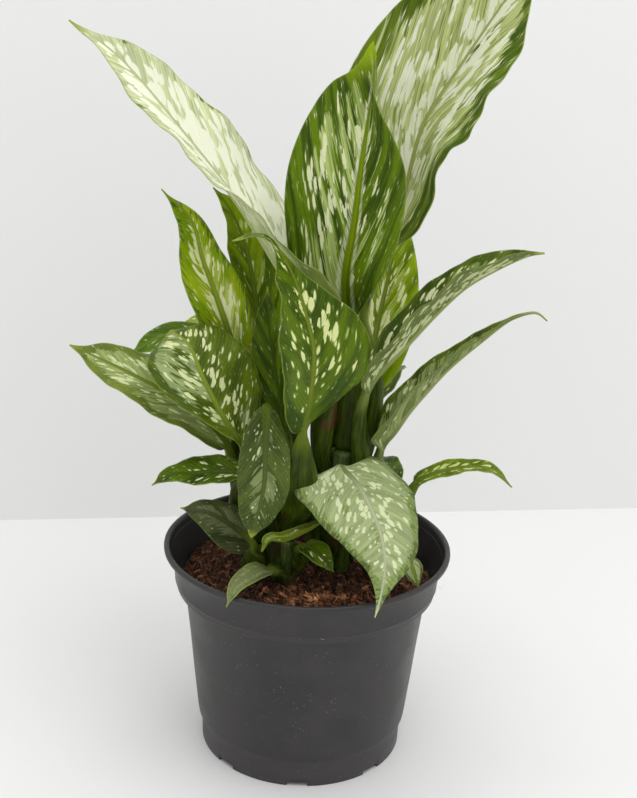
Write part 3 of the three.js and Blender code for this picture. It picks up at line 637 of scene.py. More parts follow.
def stalk_row(axes, radius, wings):
    place, _, up, right = axes
    angles = np.pi - np.pi / COLUMNS * (np.arange(COLUMNS) + 0.5)
    across = wings * np.outer(np.cos(angles), right)
    heights = (0.75, -1)
    return np.concatenate([place + radius * (across + np.outer(h * np.sin(angles), up)) for h in heights])


print("points in a leaf's row", 2 * COLUMNS)

# %% [markdown]
# The stalk of a top leaf stands on its cane's end and starts as wide as the cane. Any other leaf starts
# with its sheath, from whose upper edge the stalk leaves the cane. Few rows are enough to say so, and a
# smooth curve through each column of points then adds four rows between every two of them.

# %% Sheath and stalk
FINER = 5


def leaf_foot(leaf, cane, outward):
    if leaf["turn"] == "top":
        return [], [cane["top"] + 0.6 * cane["up"], cane["top"] + TOP_RISE * cane["up"]]
    turn = math.radians(leaf["turn"])
    height = min(SHEATH_HEIGHT, 0.5 * (leaf["stalk"][0][2] - leaf["foot"]))
    lowest = sheath_row(cane, turn, leaf["foot"], SHEATH_REACH)
    middle = sheath_row(cane, turn, leaf["foot"] + 0.5 * height, 0.85 * SHEATH_REACH)
    off_axis = cane["radius"] + STALK_RADIUS + 0.8
    return [lowest, middle], [on_cane(cane, leaf["foot"] + height) + off_axis * outward]


def stalk_rows(leaf, cane, at, stations, outward, foot_face):
    from_top = leaf["turn"] == "top"
    thicker = leaf.get("stem", STALK_RADIUS) + 0.5 - STALK_RADIUS
    rows = []
    for i, t in enumerate(stations):
        share = i / (len(stations) - 1)
        radius = lerp(STALK_RADIUS + 1.7, STALK_RADIUS - 0.2, share) + 4 * share * (1 - share) * thicker
        if from_top:
            radius = lerp(0.97 * cane["radius"], radius, smooth(share / 0.45))
        wings = 1 + (0 if from_top else 0.4) * (1 - share) ** 2 + 1.6 * share * (1 - share)
        rows.append(stalk_row(leaf_axes(at, t, unit(lerp(-outward, foot_face, share))), radius, wings))
    return rows


def smooth_rows(rows):
    curves = np.array(rows)
    chain = np.concatenate([2 * curves[:1] - curves[1:2], curves, 2 * curves[-1:] - curves[-2:-1]])
    fine = []
    for i in range(len(rows) - 1):
        p0, p1, p2, p3 = chain[i:i + 4]
        fine += [hermite(p1, p2, 0.5 * (p2 - p0), 0.5 * (p3 - p1), w) for w in np.arange(FINER) / FINER]
    return fine + [curves[-1]]


print("a sheath is up to", SHEATH_HEIGHT, "mm high, a plain stalk", 2 * STALK_RADIUS, "mm thick")

# %% [markdown]
# The blade's outline
#
# Each half of a blade widens to its broadest place and narrows to the tip. The outline could be drawn as
# a curve for every leaf. One formula with two powers gives them all, since it only needs to know how
# round the start is and how sharp the end. Columns lie closer together near the rib, where most happens.

# %% Outline of a blade
HAND = np.sign(np.arange(-HALF_COLUMNS, HALF_COLUMNS + 1))
SIDE = (HAND > 0).astype(int)
OUT = np.abs(np.arange(-HALF_COLUMNS, HALF_COLUMNS + 1) / HALF_COLUMNS) ** 1.35
PLAIN_TIP = (0.86, 0.4, 0.1)


def half_width(leaf, side, s):
    rounded, sharp = leaf["round"][side], leaf["sharp"][side]
    peak = rounded / (rounded + sharp)
    outline = (s / peak) ** rounded * ((1 - s) / (1 - peak)) ** sharp
    onset, loss, reach = leaf.get("drip", PLAIN_TIP)
    drip = 1 - loss * smooth((s - onset) / reach)
    return max(leaf["half"][side] * outline * drip, lerp(0.7, 0.3, s))


widths = [half_width(LEAVES["crown"], 0, s) + half_width(LEAVES["crown"], 1, s) for s in np.linspace(0, 1)]
print("the crown leaf is", round(max(widths)), "mm wide")

# %% [markdown]
# Folds and waves
#
# A blade isn't flat: its halves rise from the rib, bend towards the margin, and wave along it. It could be
# sculpted, but then its upper and its lower side would drift apart. Here a fold is an angle that changes
# along the leaf. The waves are lifts off the blade that grow towards the margin and die away at its start
# and tip.

# %% Folds and waves
def margin_waves(leaf, s):
    size, count, phase = leaf["wave"]
    calm = min(1, 5 * s, 4 * (1 - s))
    waves = size * np.sin(2 * np.pi * (count * s + phase + 0.37 * SIDE)) * OUT**2 * calm
    ripples = 0.3 * size * np.sin(2 * np.pi * (2.7 * count * s + 2 * phase + 0.61 * SIDE)) * OUT**3 * calm
    return waves + ripples


def rise_from_rib(leaf, side, s):
    tipward = smooth((s - 0.6) / 0.35)
    return leaf["fold"][side] + leaf["roll"][side] * (1 - s) ** 3 + leaf["curl"][side] * tipward


rises = [round(float(rise_from_rib(LEAVES["spear"], 1, s))) for s in (0, 0.5, 1)]
print("the spear's right half rises by", rises, "degrees at start, middle and tip")

# %% [markdown]
# Rows of the blade
#
# A row of the blade has an upper and a lower line. The lower one hangs lower at the rib, which gives the
# keel under every leaf. Side veins leave the rib at an angle and bend towards the tip, and the blade is
# faintly quilted. Each point notes which vein it lies on, and how far it is from the rib and the margin:
# the colours will need that.

# %% Blade rows
PLAIN_RAKE = 1.2
VEIN_BEND = 0.011
QUILT_HEIGHT, QUILT_SPACING = 0.2, 11
UPPER_LIFT = 0.35
CREST_HEIGHT = 0.22


def blade_row(axes, leaf, s, length):
    place, along, up, right = axes
    half = np.array([half_width(leaf, k, s) for k in SIDE])
    spread = half * OUT
    slack = np.minimum(1, half / 4)
    bend = slack * np.radians([leaf["bend"][k] for k in SIDE])
    fold = slack * np.radians([rise_from_rib(leaf, k, s) for k in SIDE])
    mean = fold + 0.5 * bend * OUT
    turn = np.where(HAND == 0, 0, fold + bend * OUT)
    flat = np.outer(np.cos(turn), up) - np.outer(HAND * np.sin(turn), right)
    lobe = np.array([leaf["lobe"][k] for k in SIDE]) * (1 - min(s, 0.3) / 0.3) ** 2
    middle = (place + np.outer(HAND * spread * np.cos(mean), right) + np.outer(spread * np.sin(mean), up)
              + margin_waves(leaf, s)[:, None] * flat - np.outer(lobe * OUT**2, along))
    rake = leaf.get("rake", PLAIN_RAKE)
    vein = s * length - rake * spread - VEIN_BEND * rake * spread**2
    quilt = QUILT_HEIGHT * np.sin(2 * np.pi * vein / QUILT_SPACING)
    quilt = quilt * smooth(spread / 5) * smooth((half - spread) / 6)
    rib_half = lerp(2.4, 0.7, min(1, 1.15 * s))
    crest = np.exp(-((spread / rib_half) ** 2))
    keel = lerp(2.0, 0.35, min(1, 1.2 * s)) * crest
    thick = lerp(0.75, 0.4, OUT) * lerp(1, 0.5, smooth((s - 0.9) * 10))
    upper = middle + (UPPER_LIFT + quilt + CREST_HEIGHT * crest)[:, None] * flat
    lower = middle + (UPPER_LIFT + quilt - thick - keel)[:, None] * flat
    notes = np.stack([vein, spread, half - spread, np.full(COLUMNS, s), spread / rib_half], 1)
    return np.concatenate([upper, lower]), np.concatenate([notes, notes])


points, notes = blade_row((np.zeros(3), *np.eye(3)), LEAVES["crown"], 0.5, 300)
print("a row of the blade has", len(points), "points, with", notes.shape[1], "notes on each")

# %% [markdown]
# The stalk and the sheath need the same five numbers on each point, or the finish couldn't colour the
# leaf as one piece. They have no side veins, so their grain simply runs lengthwise. Their share of the
# length is negative, and that is how the finish will know them.

# %% Notes on the stalk
STALK_COLUMN_GAP, STALK_ROW_GAP = 0.9, 4
STALK_EDGE, STALK_FROM_RIB = 9, 0.6
ROWS_TO_BLADE = 12


def stalk_notes(count):
    across = np.tile(STALK_COLUMN_GAP * np.arange(COLUMNS), 2)
    notes = []
    for i in range(count):
        to_blade = min(1, (count - 1 - i) / ROWS_TO_BLADE)
        whole_row = (STALK_ROW_GAP * i, STALK_EDGE, -to_blade, STALK_FROM_RIB)
        notes.append(np.stack([across, *(np.full(len(across), value) for value in whole_row)], 1))
    return notes


print("a point of the stalk has", stalk_notes(1)[0].shape[1], "notes too")

# %% [markdown]
# One function for all leaves
#
# Now one function makes any leaf's rows from its lines in the table. Near its start the blade's row is
# mixed with the stalk's last one, so that the two run into each other. That is the place where two
# separate meshes would show a seam.

# %% All rows of a leaf
BLADE_STEP = 2.0
FEWEST_BLADE_ROWS = 36
NECK = 0.07


def leaf_rows(leaf):
    cane = CANES[leaf["cane"]]
    foot_face, tip_face = (np.array(face, float) for face in leaf["face"])
    outward = -foot_face
    if leaf["turn"] != "top":
        turn = math.radians(leaf["turn"])
        outward = np.array([math.cos(turn), math.sin(turn), 0])
    rows, line = leaf_foot(leaf, cane, outward)
    line += [np.array(point, float) for point in leaf["stalk"]]
    stalk_spans = len(line)
    line += [np.array(point, float) for point in leaf["rib"]]
    at = middle_line(line)
    start = stalk_spans / (len(line) - 1)
    stations, _ = even_stations(at, 0, start, 2 + stalk_spans)
    rows = smooth_rows(rows + stalk_rows(leaf, cane, at, stations, outward, foot_face))
    notes = stalk_notes(len(rows))

    rib_length = np.linalg.norm(np.diff(leaf["rib"], axis=0), axis=1).sum()
    spans = max(FEWEST_BLADE_ROWS, int(rib_length / BLADE_STEP))
    stations, length = even_stations(at, start, 1, spans)
    neck = rows[-1]
    for i, t in enumerate(stations[1:], 1):
        s = i / spans
        row, numbers = blade_row(leaf_axes(at, t, unit(lerp(foot_face, tip_face, s))), leaf, s, length)
        if s < NECK:
            row = lerp(neck + (at(t) - at(start)), row, smooth(s / NECK))
        rows.append(row)
        notes.append(numbers)
    return rows, notes


print("rows of the crown leaf", len(leaf_rows(LEAVES["crown"])[0]))

# %% [markdown]
# The rows are joined into a closed skin: an upper side, a lower side, a strip along each margin and a cap
# at each end. The notes go with the points as attributes, which a finish can read. The left half's grain
# lies 40 mm to one side of the rib's and the right half's to the other, so that their patterns differ.

# %% Leaf mesh
HALVES_APART = 40


def leaf_skin(rows):
    n = COLUMNS
    faces = []
    for r in range(len(rows) - 1):
        a, b = r * 2 * n, (r + 1) * 2 * n
        for c in range(n - 1):
            faces.append((a + c, a + c + 1, b + c + 1, b + c))
            faces.append((a + n + c, b + n + c, b + n + c + 1, a + n + c + 1))
        faces.append((a + n, a, b, b + n))
        faces.append((a + n - 1, a + 2 * n - 1, b + 2 * n - 1, b + n - 1))
    last = (len(rows) - 1) * 2 * n
    for c in range(n - 1):
        faces.append((c, n + c, n + c + 1, c + 1))
        faces.append((last + c, last + c + 1, last + n + c + 1, last + n + c))
    return np.concatenate(rows), faces


def note(made, label, values):
    values = np.asarray(values, float)
    kind, key = ("FLOAT_VECTOR", "vector") if values.ndim == 2 else ("FLOAT", "value")
    made.data.attributes.new(label, kind, "POINT").data.foreach_set(key, values.ravel())


def leaf_piece(name, leaf, finish):
    rows, notes = leaf_rows(leaf)
    made = piece(f"{name}_leaf", *leaf_skin(rows), finish, "leaf")
    vein, spread, edge, along, from_rib = np.concatenate(notes).T
    note(made, "grain", np.stack([vein, spread, HALVES_APART * np.tile(HAND, 2 * len(rows))], 1))
    note(made, "lie", np.stack([along, edge, from_rib], 1))
    note(made, "under", np.tile(np.repeat([0.0, 1.0], COLUMNS), len(rows)))
    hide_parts(f"leaf_{name}")
    return made


print("faces of the spear leaf", len(leaf_skin(leaf_rows(LEAVES["spear"])[0])[1]))

# %% [markdown]
# The leaves' colours
#
# A dieffenbachia's pattern follows the fine side veins: a dark green ground, paler green patches that
# look brushed on, and cream blots and spots. A painted image would fit one leaf only. Side veins are the
# grain here, as in wood, so noise stretched along them serves every leaf, and its ends are frayed by
# shifting each fine line a little along the grain. Each leaf gets its own amounts, because young leaves
# are yellower, with a painted glow of light shining through added to the yellowest, and old ones darker.
# A few hold painted sheen or shade as well, noted at their lines. Here too a pair is for the left and the
# right half.
#
# `tone` picks the basic greens. `pale` is how much is brushed and `cream` how much is creamy, with less
# of both near the blade's start where `dark_foot` says so. `band` is the width of the plain green along
# the margin, and `patch`, `blot` and `spot` are the marks' sizes across and along the grain. `comb` is
# how much green is combed through the pale parts, `strips` the cream beside the rib, and `flecks` the
# dark green flecks. `rib` is the rib's colour and `broad` its width, `outline` is the pale line round the
# blade, the plain `tip` starts at `tip_from`, and `thin` is how much light comes through.

# %% Tones and looks
TONES = {
    "dark": dict(ground=(0.040, 0.085, 0.002), bright=(0.130, 0.215, 0.003), brushed=(0.50, 0.62, 0.17),
                 milk=(0.94, 0.96, 0.64), under=(0.20, 0.27, 0.05)),
    # Partly the young leaves' own yellower green, partly a painted glow of light shining through them.
    "fresh_backlit": dict(ground=(0.200, 0.330, 0.003), bright=(0.370, 0.510, 0.006), brushed=(0.62, 0.72, 0.17),
                  milk=(0.96, 0.97, 0.60), under=(0.34, 0.46, 0.03)),
    # Partly the leaves' own duller grey-green, partly a painted sheen of the bright room reflected on them.
    "grey": dict(ground=(0.075, 0.125, 0.012), bright=(0.150, 0.215, 0.022), brushed=(0.42, 0.50, 0.19),
                 milk=(0.90, 0.93, 0.58), under=(0.28, 0.34, 0.12)),
    "pale": dict(ground=(0.055, 0.110, 0.004), bright=(0.170, 0.250, 0.012), brushed=(0.68, 0.76, 0.31),
                 milk=(0.97, 0.98, 0.80), under=(0.40, 0.46, 0.15)),
}
PLAIN_LOOK = dict(tone="dark", pale=0.45, cream=0.45, dark_foot=0.0, band=4.0, patch=(14, 11), blot=(9, 5),
                  spot=(7, 4), comb=0.55, strips=0.0, flecks=0.0, rib=(0.24, 0.33, 0.03), broad=1.0,
                  outline=0.5, tip=(0.34, 0.40, 0.05), tip_from=0.93, thin=0.25)
LOOKS = {
    "spear": dict(
        pale=(0.52, 0.24), cream=(0.46, 0.26), band=6, patch=(13, 13), blot=(9, 3.6), spot=(9, 3.3),
        comb=0.7, strips=0.7, bright=(0.17, 0.28, 0.003), brushed=(0.52, 0.64, 0.20),
        rib=(0.27, 0.40, 0.002), broad=1.5, tip=(0.34, 0.48, 0.004), tip_from=0.84,
    ),
    "crown": dict(
        tone="pale", pale=(1.0, 0.84), cream=(0.68, 0.66), band=8, patch=(14, 13), blot=(11, 5),
        spot=(11, 5), comb=0.8, strips=0.3, brushed=(0.60, 0.67, 0.27), rib=(0.46, 0.52, 0.14), thin=0.12,
    ),
    # Its near-total pale brushing is partly its own variegation and partly a painted sheen; the plain dark
    # green at its left half's foot is painted shade.
    "top_left": dict(
        tone="pale", pale=1.5, cream=(0.64, 0.68), dark_foot=(0.7, 0.0), band=2, blot=(11, 7),
        spot=(10, 6), comb=0.3, brushed=(0.66, 0.72, 0.41), rib=(0.62, 0.68, 0.36), thin=0.14,
    ),
    "front": dict(
        pale=(0.02, 0.05), cream=(0.26, 0.58), dark_foot=(0.15, 0.6), blot=(7, 4.5), spot=(7, 4.2),
        milk=(0.88, 0.93, 0.44), rib=(0.22, 0.30, 0.02),
    ),
    # Its greens are brighter still: more painted glow of the light behind it, on its own yellow-green.
    "left_tall": dict(
        tone="fresh_backlit", pale=(0.44, 0.56), cream=(0.68, 0.80), patch=(12, 8), blot=(8, 4), spot=(7, 3.6),
        flecks=0.6, ground=(0.24, 0.39, 0.003), bright=(0.44, 0.58, 0.006), rib=(0.34, 0.46, 0.03),
    ),
    "left_narrow": dict(
        tone="fresh_backlit", pale=(0.25, 0.2), cream=(0.1, 0.2), blot=(11, 3), spot=(9, 2.6),
        ground=(0.12, 0.21, 0.003),
    ),
    "behind_crown": dict(
        tone="fresh_backlit", pale=(0.4, 0.45), cream=0.6, blot=(11, 3.4), spot=(9, 2.8),
        ground=(0.14, 0.25, 0.002),
    ),
    "right_upper": dict(
        tone="grey", pale=0.2, cream=0.62, band=2, blot=(7, 3.5), spot=(6.5, 3),
        ground=(0.06, 0.10, 0.008), brushed=(0.32, 0.42, 0.12), rib=(0.46, 0.53, 0.18), outline=0.3,
    ),
    "right_middle": dict(
        tone="grey", pale=(0.62, 0.52), cream=0.30, band=1.5, blot=(7, 4), spot=(6, 3.5),
        rib=(0.46, 0.52, 0.20),
    ),
    # Its pale grey-green ground is partly its own colour and partly a painted sheen of the light from
    # above.
    "right_hanging": dict(
        tone="grey", pale=0.85, cream=0.46, band=3, patch=(10, 8), blot=(4.5, 4), spot=(4, 3.4),
        comb=0.35, flecks=0.6, ground=(0.22, 0.31, 0.08), bright=(0.30, 0.39, 0.12),
        brushed=(0.44, 0.52, 0.24), milk=(0.82, 0.88, 0.54), rib=(0.58, 0.61, 0.38), broad=0.75,
        outline=0.0, tip=(0.66, 0.70, 0.32),
    ),
    "right_small": dict(
        pale=0.25, cream=0.55, band=1.2, blot=(5, 3), spot=(4.5, 2.6), ground=(0.10, 0.16, 0.004),
        bright=(0.24, 0.34, 0.008), milk=(0.80, 0.88, 0.36),
    ),
    "right_low": dict(tone="grey", pale=1.0, cream=0.2, band=1, brushed=(0.50, 0.56, 0.26)),
    "left_round": dict(
        pale=(0.62, 0.14), cream=(0.34, 0.44), band=2.5, blot=(4.5, 5), spot=(4, 4.6),
        ground=(0.08, 0.13, 0.008), bright=(0.18, 0.26, 0.010), brushed=(0.40, 0.49, 0.20),
        milk=(0.90, 0.95, 0.50), rib=(0.32, 0.42, 0.04),
    ),
    # Its marks are nearly left out and its rib darkened: painted shade, deep among the other leaves.
    "left_inner": dict(pale=0.0, cream=-0.2, rib=(0.10, 0.16, 0.01), outline=0.2),
    "left_curled": dict(pale=0.05, cream=0.1, ground=(0.07, 0.15, 0.003), bright=(0.14, 0.26, 0.006)),
    "left_long": dict(
        tone="fresh_backlit", pale=0.8, cream=0.50, band=3, blot=(8, 3), spot=(7, 2.6), ground=(0.15, 0.21, 0.03),
        bright=(0.25, 0.32, 0.04), brushed=(0.44, 0.52, 0.19), milk=(0.84, 0.90, 0.52),
    ),
    "left_lower": dict(pale=0.1, cream=0.45, band=2, blot=(5, 3.5), spot=(5, 3), rib=(0.10, 0.17, 0.01)),
    # All its greens and even its cream are dimmed to about two thirds of the grey tone's: painted shade.
    "front_hanging": dict(
        tone="grey", pale=0.45, cream=0.30, blot=(4, 3), spot=(3.6, 2.4), ground=(0.050, 0.078, 0.012),
        bright=(0.100, 0.140, 0.022), brushed=(0.24, 0.29, 0.11), milk=(0.60, 0.66, 0.36),
        rib=(0.09, 0.13, 0.02), outline=0.12, thin=0.12,
    ),
    # Its greens, rib and underside are dimmed to about a third of the grey tone's: painted shade.
    "left_low": dict(
        tone="grey", pale=0.5, cream=-0.1, band=2, ground=(0.030, 0.042, 0.010),
        bright=(0.065, 0.082, 0.018), brushed=(0.14, 0.16, 0.07), under=(0.06, 0.07, 0.03),
        rib=(0.07, 0.085, 0.02), outline=0.15, thin=0.10,
    ),
    "front_small": dict(
        tone="grey", pale=0.8, cream=0.0, band=1.5, ground=(0.12, 0.155, 0.05), bright=(0.20, 0.24, 0.08),
        brushed=(0.27, 0.31, 0.14), rib=(0.24, 0.28, 0.10),
    ),
    "front_rolled": dict(
        tone="fresh_backlit", pale=0.7, cream=0.3, band=1, blot=(5, 3), spot=(4, 3), ground=(0.14, 0.20, 0.010),
        bright=(0.22, 0.30, 0.015), brushed=(0.38, 0.48, 0.12),
    ),
    "front_curled": dict(
        pale=0.1, cream=0.50, band=1.5, blot=(5, 3), spot=(4, 2.6), rib=(0.10, 0.16, 0.01),
    ),
    "back_tall": dict(
        tone="pale", pale=(0.6, 0.7), cream=(0.5, 0.55), patch=(14, 13), blot=(11, 6), strips=0.4,
    ),
    "back_broad": dict(pale=(0.5, 0.4), cream=0.5, strips=0.5),
    "back_left": dict(tone="fresh_backlit", pale=(0.5, 0.4), cream=0.5),
    "back_right": dict(pale=0.1, cream=0.2),
    "right_back": dict(pale=0.1, cream=0.2),
}
print("leaves with a look of their own", len(LOOKS))

# %% [markdown]
# Sums in a finish
#
# A finish often has to add, subtract or multiply two values. Blender has a node for each sum, and they
# could be placed and linked one by one, but short helpers read like the sums themselves. The others take
# a vector apart, join one, read what was noted on the mesh's points, and ask if a value is over a limit.

# %% Sums
def maths(tree, operation, a, b=0.5):
    return add(tree, "ShaderNodeMath", {0: a, 1: b}, operation=operation).outputs[0]


def plus(tree, a, b):
    return maths(tree, "ADD", a, b)


def minus(tree, a, b):
    return maths(tree, "SUBTRACT", a, b)


def times(tree, a, b):
    return maths(tree, "MULTIPLY", a, b)


def parts(tree, vector):
    return add(tree, "ShaderNodeSeparateXYZ", {0: vector}).outputs


def joined(tree, x, y, z=0.0):
    return add(tree, "ShaderNodeCombineXYZ", {0: x, 1: y, 2: z}).outputs[0]


def noted(tree, label, output="Fac"):
    return add(tree, "ShaderNodeAttribute", attribute_name=label).outputs[output]


def over(tree, value, limit, width=0.025):
    return ramp(tree, minus(tree, value, limit), -width, width)


print("helpers:", ", ".join(helper.__name__ for helper in (plus, minus, times, parts, joined, noted, over)))

# %% [markdown]
# A leaf's grain
#
# Noise that follows the veins needs a leaf's own coordinates, which are the notes on its points. We read
# them once for each leaf and keep them together: the vein, the distance out from the rib, the side, the
# share of the length, and the distances from margin and rib. `streaks` is noise in grains of a given size
# across and along the veins. Two kinds of thin streaks, `lines` and `fine`, fray the ends of all marks.
# `both` gives each half of the leaf its own number.

# %% Grain
RIDGE_RATE = 2.1
MIDDLE = 4.0


class Grain:
    def __init__(self, tree, seed):
        self.tree, self.seed = tree, seed
        self.vein, self.out, self.side = parts(tree, noted(tree, "grain", "Vector"))
        self.along, self.edge, self.from_rib = parts(tree, noted(tree, "lie", "Vector"))
        self.under = noted(tree, "under")
        self.lines = self.streaks(4.2, 30, 3.1, 2.0, 0.65)
        self.fine = self.streaks(2.1, 16, 8.3, 1.0)
        self.fray = plus(tree, times(tree, minus(tree, self.lines, 0.5), 24.0),
                         times(tree, minus(tree, self.fine, 0.5), 16.0))
        self.small_fray = times(tree, self.fray, 0.10)
        self.foot = ramp(tree, self.along, 0.12, 0.42, 1.0, 0.0)
        self.ridges = maths(tree, "SINE", times(tree, self.vein, RIDGE_RATE))

    def streaks(self, across, along, shift, detail=1.5, roughness=0.5, fray=None):
        reach = self.out if fray is None else plus(self.tree, self.out, fray)
        point = joined(self.tree, self.vein, reach, self.side)
        scale, moved = (1 / across, 1 / along, 0.1), (shift, self.seed, self.seed + shift)
        return noise(self.tree, stretched(self.tree, point, scale, moved), 1.0, detail, roughness)

    def both(self, value):
        return ramp(self.tree, self.side, -MIDDLE, MIDDLE, *pair(value))


print("ridges of the side veins are", round(2 * math.pi / RIDGE_RATE, 1), "mm apart")

# %% [markdown]
# Patches, blots and spots
#
# The pale green patches and the larger cream blots are made alike: noise along the grain, a little less
# of it at the margin and near the foot, and a limit above which it shows. The smaller spots are rounder
# and stand apart. Noise would run them together, so they come from a Voronoi texture, which drops one
# point in each cell of a grid. Each point's colour is a number of luck that decides how far it swells.

# %% Marks on a leaf
def grain_marks(grain, cell, shift, detail, fray, margin, less_at_margin, dark_foot, limit):
    tree = grain.tree
    inner = minus(tree, ramp(tree, grain.edge, *margin), 1.0)
    marks = grain.streaks(*cell, shift, detail, 0.5, fray)
    marks = plus(tree, marks, times(tree, inner, less_at_margin))
    marks = minus(tree, marks, times(tree, grain.foot, grain.both(dark_foot)))
    return over(tree, marks, grain.both(limit))


def patches(grain, look):
    limit = [0.71 - 0.42 * pale for pale in pair(look.pale)]
    margin = (0.45 * look.band, 2.4 * look.band)
    return grain_marks(grain, look.patch, 11.3, 2.5, grain.fray, margin, 0.33, look.dark_foot, limit)


def blots(grain, look):
    limit = [0.78 - 0.34 * cream for cream in pair(look.cream)]
    margin = (0.7 * look.band, 5.5 * look.band)
    dark_foot = [0.8 * dark for dark in pair(look.dark_foot)]
    return grain_marks(grain, look.blot, 23.7, 1.5, grain.small_fray, margin, 0.17, dark_foot, limit)


def spots(grain, look):
    tree = grain.tree
    point = joined(tree, plus(tree, grain.vein, grain.side), plus(tree, grain.out, grain.small_fray))
    point = stretched(tree, point, (1 / look.spot[0], 1 / look.spot[1], 1), (grain.seed, 3.7, 0))
    sockets = {"Vector": point, "Scale": 1.0}
    cells = add(tree, "ShaderNodeTexVoronoi", sockets, voronoi_dimensions="2D").outputs
    crowding = ramp(tree, grain.streaks(30, 18, 61.0), 0.35, 0.65, -0.2, 0.2)
    luck = plus(tree, parts(tree, cells["Color"])[0], crowding)
    luck = minus(tree, luck, times(tree, grain.foot, grain.both(look.dark_foot)))
    size = ramp(tree, plus(tree, luck, grain.both(look.cream)), 0.75, 1.7, 0.0, 0.66)
    size = times(tree, size, ramp(tree, grain.edge, 0.5 * look.band, 3.0 * look.band, 0.1, 1.0))
    swell = minus(tree, size, cells["Distance"])
    return plus(tree, swell, times(tree, minus(tree, grain.fine, 0.5), 0.35))


print("marks:", ", ".join(made.__name__ for made in (patches, blots, spots)))

# %% [markdown]
# From ground to rib
#
# A painter works from the ground up, and so do the blends. First comes the green with its shades, lighter
# and darker along the veins, with a faint painted shade in the grooves of the side veins. Then the brushed
# patches, a pale halo and the cream lie over it, each combed with fine lines so that no patch looks cut
# out. Dark flecks, the pale strip beside the rib, the outline and the rib itself come last.

# %% Colours of the blade
FLECK_GREEN = (0.05, 0.075, 0.012)
OUTLINE_GREEN = (0.40, 0.50, 0.11)
RIB_FOOT_GREEN = (0.13, 0.19, 0.012)


def green_ground(grain, look):
    tree = grain.tree
    mottle = ramp(tree, noise(tree, object_place(tree), 2200.0, 1.0), 0.3, 0.7, 0.86, 1.12)
    shade = ramp(tree, grain.streaks(14, 22, 37.0, 2.0, 0.5, grain.small_fray), 0.34, 0.66)
    # The side-vein ridges darken the green a little: painted shade in their grooves, with the random
    # mottle.
    mottle_and_groove_shade = times(tree, mottle, ramp(tree, grain.ridges, -0.2, 1.0, 1.04, 0.86))
    return blend(tree, 1.0, blend(tree, shade, look.ground, look.bright), mottle_and_groove_shade, "MULTIPLY")


def cream_pattern(grain, look, colour):
    tree = grain.tree
    combed = blend(tree, 1.0, look.brushed, ramp(tree, grain.lines, 0.3, 0.7, 0.74, 1.16), "MULTIPLY")
    combed = blend(tree, ramp(tree, grain.fine, 0.54, 0.64, 0.0, look.comb), combed, look.bright)
    colour = blend(tree, patches(grain, look), colour, combed)
    swell = spots(grain, look)
    colour = blend(tree, ramp(tree, swell, -0.2, 0.0, 0.0, 0.4), colour, look.brushed)
    milky = maths(tree, "MAXIMUM", blots(grain, look), over(tree, swell, 0.0, 0.035))
    combing = ramp(tree, grain.fine, 0.56, 0.68, 0.0, 0.6 * look.comb)
    return blend(tree, milky, colour, blend(tree, combing, look.milk, look.brushed))


def flecks_and_outline(grain, look, colour):
    tree = grain.tree
    near_edge = ramp(tree, grain.edge, 1.0, 5.0, 0.0, 0.22)
    flecks = over(tree, minus(tree, grain.streaks(4, 4, 83.0, 2.0), near_edge), 0.49)
    colour = blend(tree, times(tree, flecks, look.flecks), colour, FLECK_GREEN)
    from_rib = grain.from_rib
    strip = times(tree, ramp(tree, from_rib, 1.2, 1.5), ramp(tree, from_rib, 2.4, 3.4, 1.0, 0.0))
    broken = ramp(tree, grain.streaks(2.2, 60, 71.0), 0.36, 0.56, 0.0, look.strips)
    colour = blend(tree, times(tree, strip, broken), colour, look.milk)
    return blend(tree, ramp(tree, grain.edge, 0.2, 0.8, look.outline, 0.0), colour, OUTLINE_GREEN)


def rib_and_tip(grain, look, colour):
    tree = grain.tree
    rib = blend(tree, ramp(tree, grain.from_rib, 0.0, 1.0), look.rib, [0.72 * part for part in look.rib])
    rib = blend(tree, ramp(tree, grain.along, 0.0, 0.3, 0.8, 0.0), rib, RIB_FOOT_GREEN)
    on_rib = ramp(tree, grain.from_rib, 0.85 * look.broad, 1.3 * look.broad, 1.0, 0.0)
    colour = blend(tree, on_rib, colour, rib)
    return blend(tree, ramp(tree, grain.along, look.tip_from, 1.0), colour, look.tip)


print("greens beside the tones'", FLECK_GREEN, OUTLINE_GREEN, RIB_FOOT_GREEN)

# %% [markdown]
# Stalk and underside
#
# Stalk and sheath are plain green with a few dry brown places, painted darker for the deep shade among
# the canes, and the underside is paler. They could be finishes of their own, but then a hard line would
# show where they meet. So they are two more layers, laid on where the share of the length is negative or
# where the point is noted as underside.

# %% Stalk and underside
# Both greens are darker than the stalks' own: painted shade among the canes.
STALK_DARK_WITH_SHADE, STALK_LIGHT_WITH_SHADE = (0.029, 0.052, 0.003), (0.080, 0.124, 0.008)
STALK_BROWN = (0.12, 0.055, 0.022)


def stalk_and_underside(grain, look, colour):
    tree = grain.tree
    stalk = blend(tree, ramp(tree, grain.lines, 0.35, 0.7), STALK_DARK_WITH_SHADE, STALK_LIGHT_WITH_SHADE)
    dry = ramp(tree, noise(tree, object_place(tree), 42.0, 3.0), 0.60, 0.68, 0.0, 0.8)
    stalk = blend(tree, dry, stalk, STALK_BROWN)
    colour = blend(tree, ramp(tree, grain.along, -0.45, 0.01, 1.0, 0.0), colour, stalk)
    below = times(tree, grain.under, ramp(tree, grain.along, -0.3, 0.0, 0.0, 0.4))
    return blend(tree, below, colour, look.under)


print("stalk from", STALK_DARK_WITH_SHADE, "to", STALK_LIGHT_WITH_SHADE)

# %% [markdown]
# The whole finish of a leaf
#
# Now the layers go on, one after another. The gloss is soft and uneven, and a bump along the veins breaks
# it up. A real leaf is thin, so light from behind shines through it in yellow-green. A see-through mesh
# would show what lies behind it. A translucent shader mixed into the glossy one lets only the light by.

# %% Leaf finish
LIGHT_THROUGH = (1.0, 1.0, 0.30)
LEAF_SPECULAR = 0.17


def bumped(tree, shader, height, distance, strength):
    bump = add(tree, "ShaderNodeBump", {"Strength": strength, "Distance": distance, "Height": height})
    tree.links.new(bump.outputs[0], shader.inputs["Normal"])


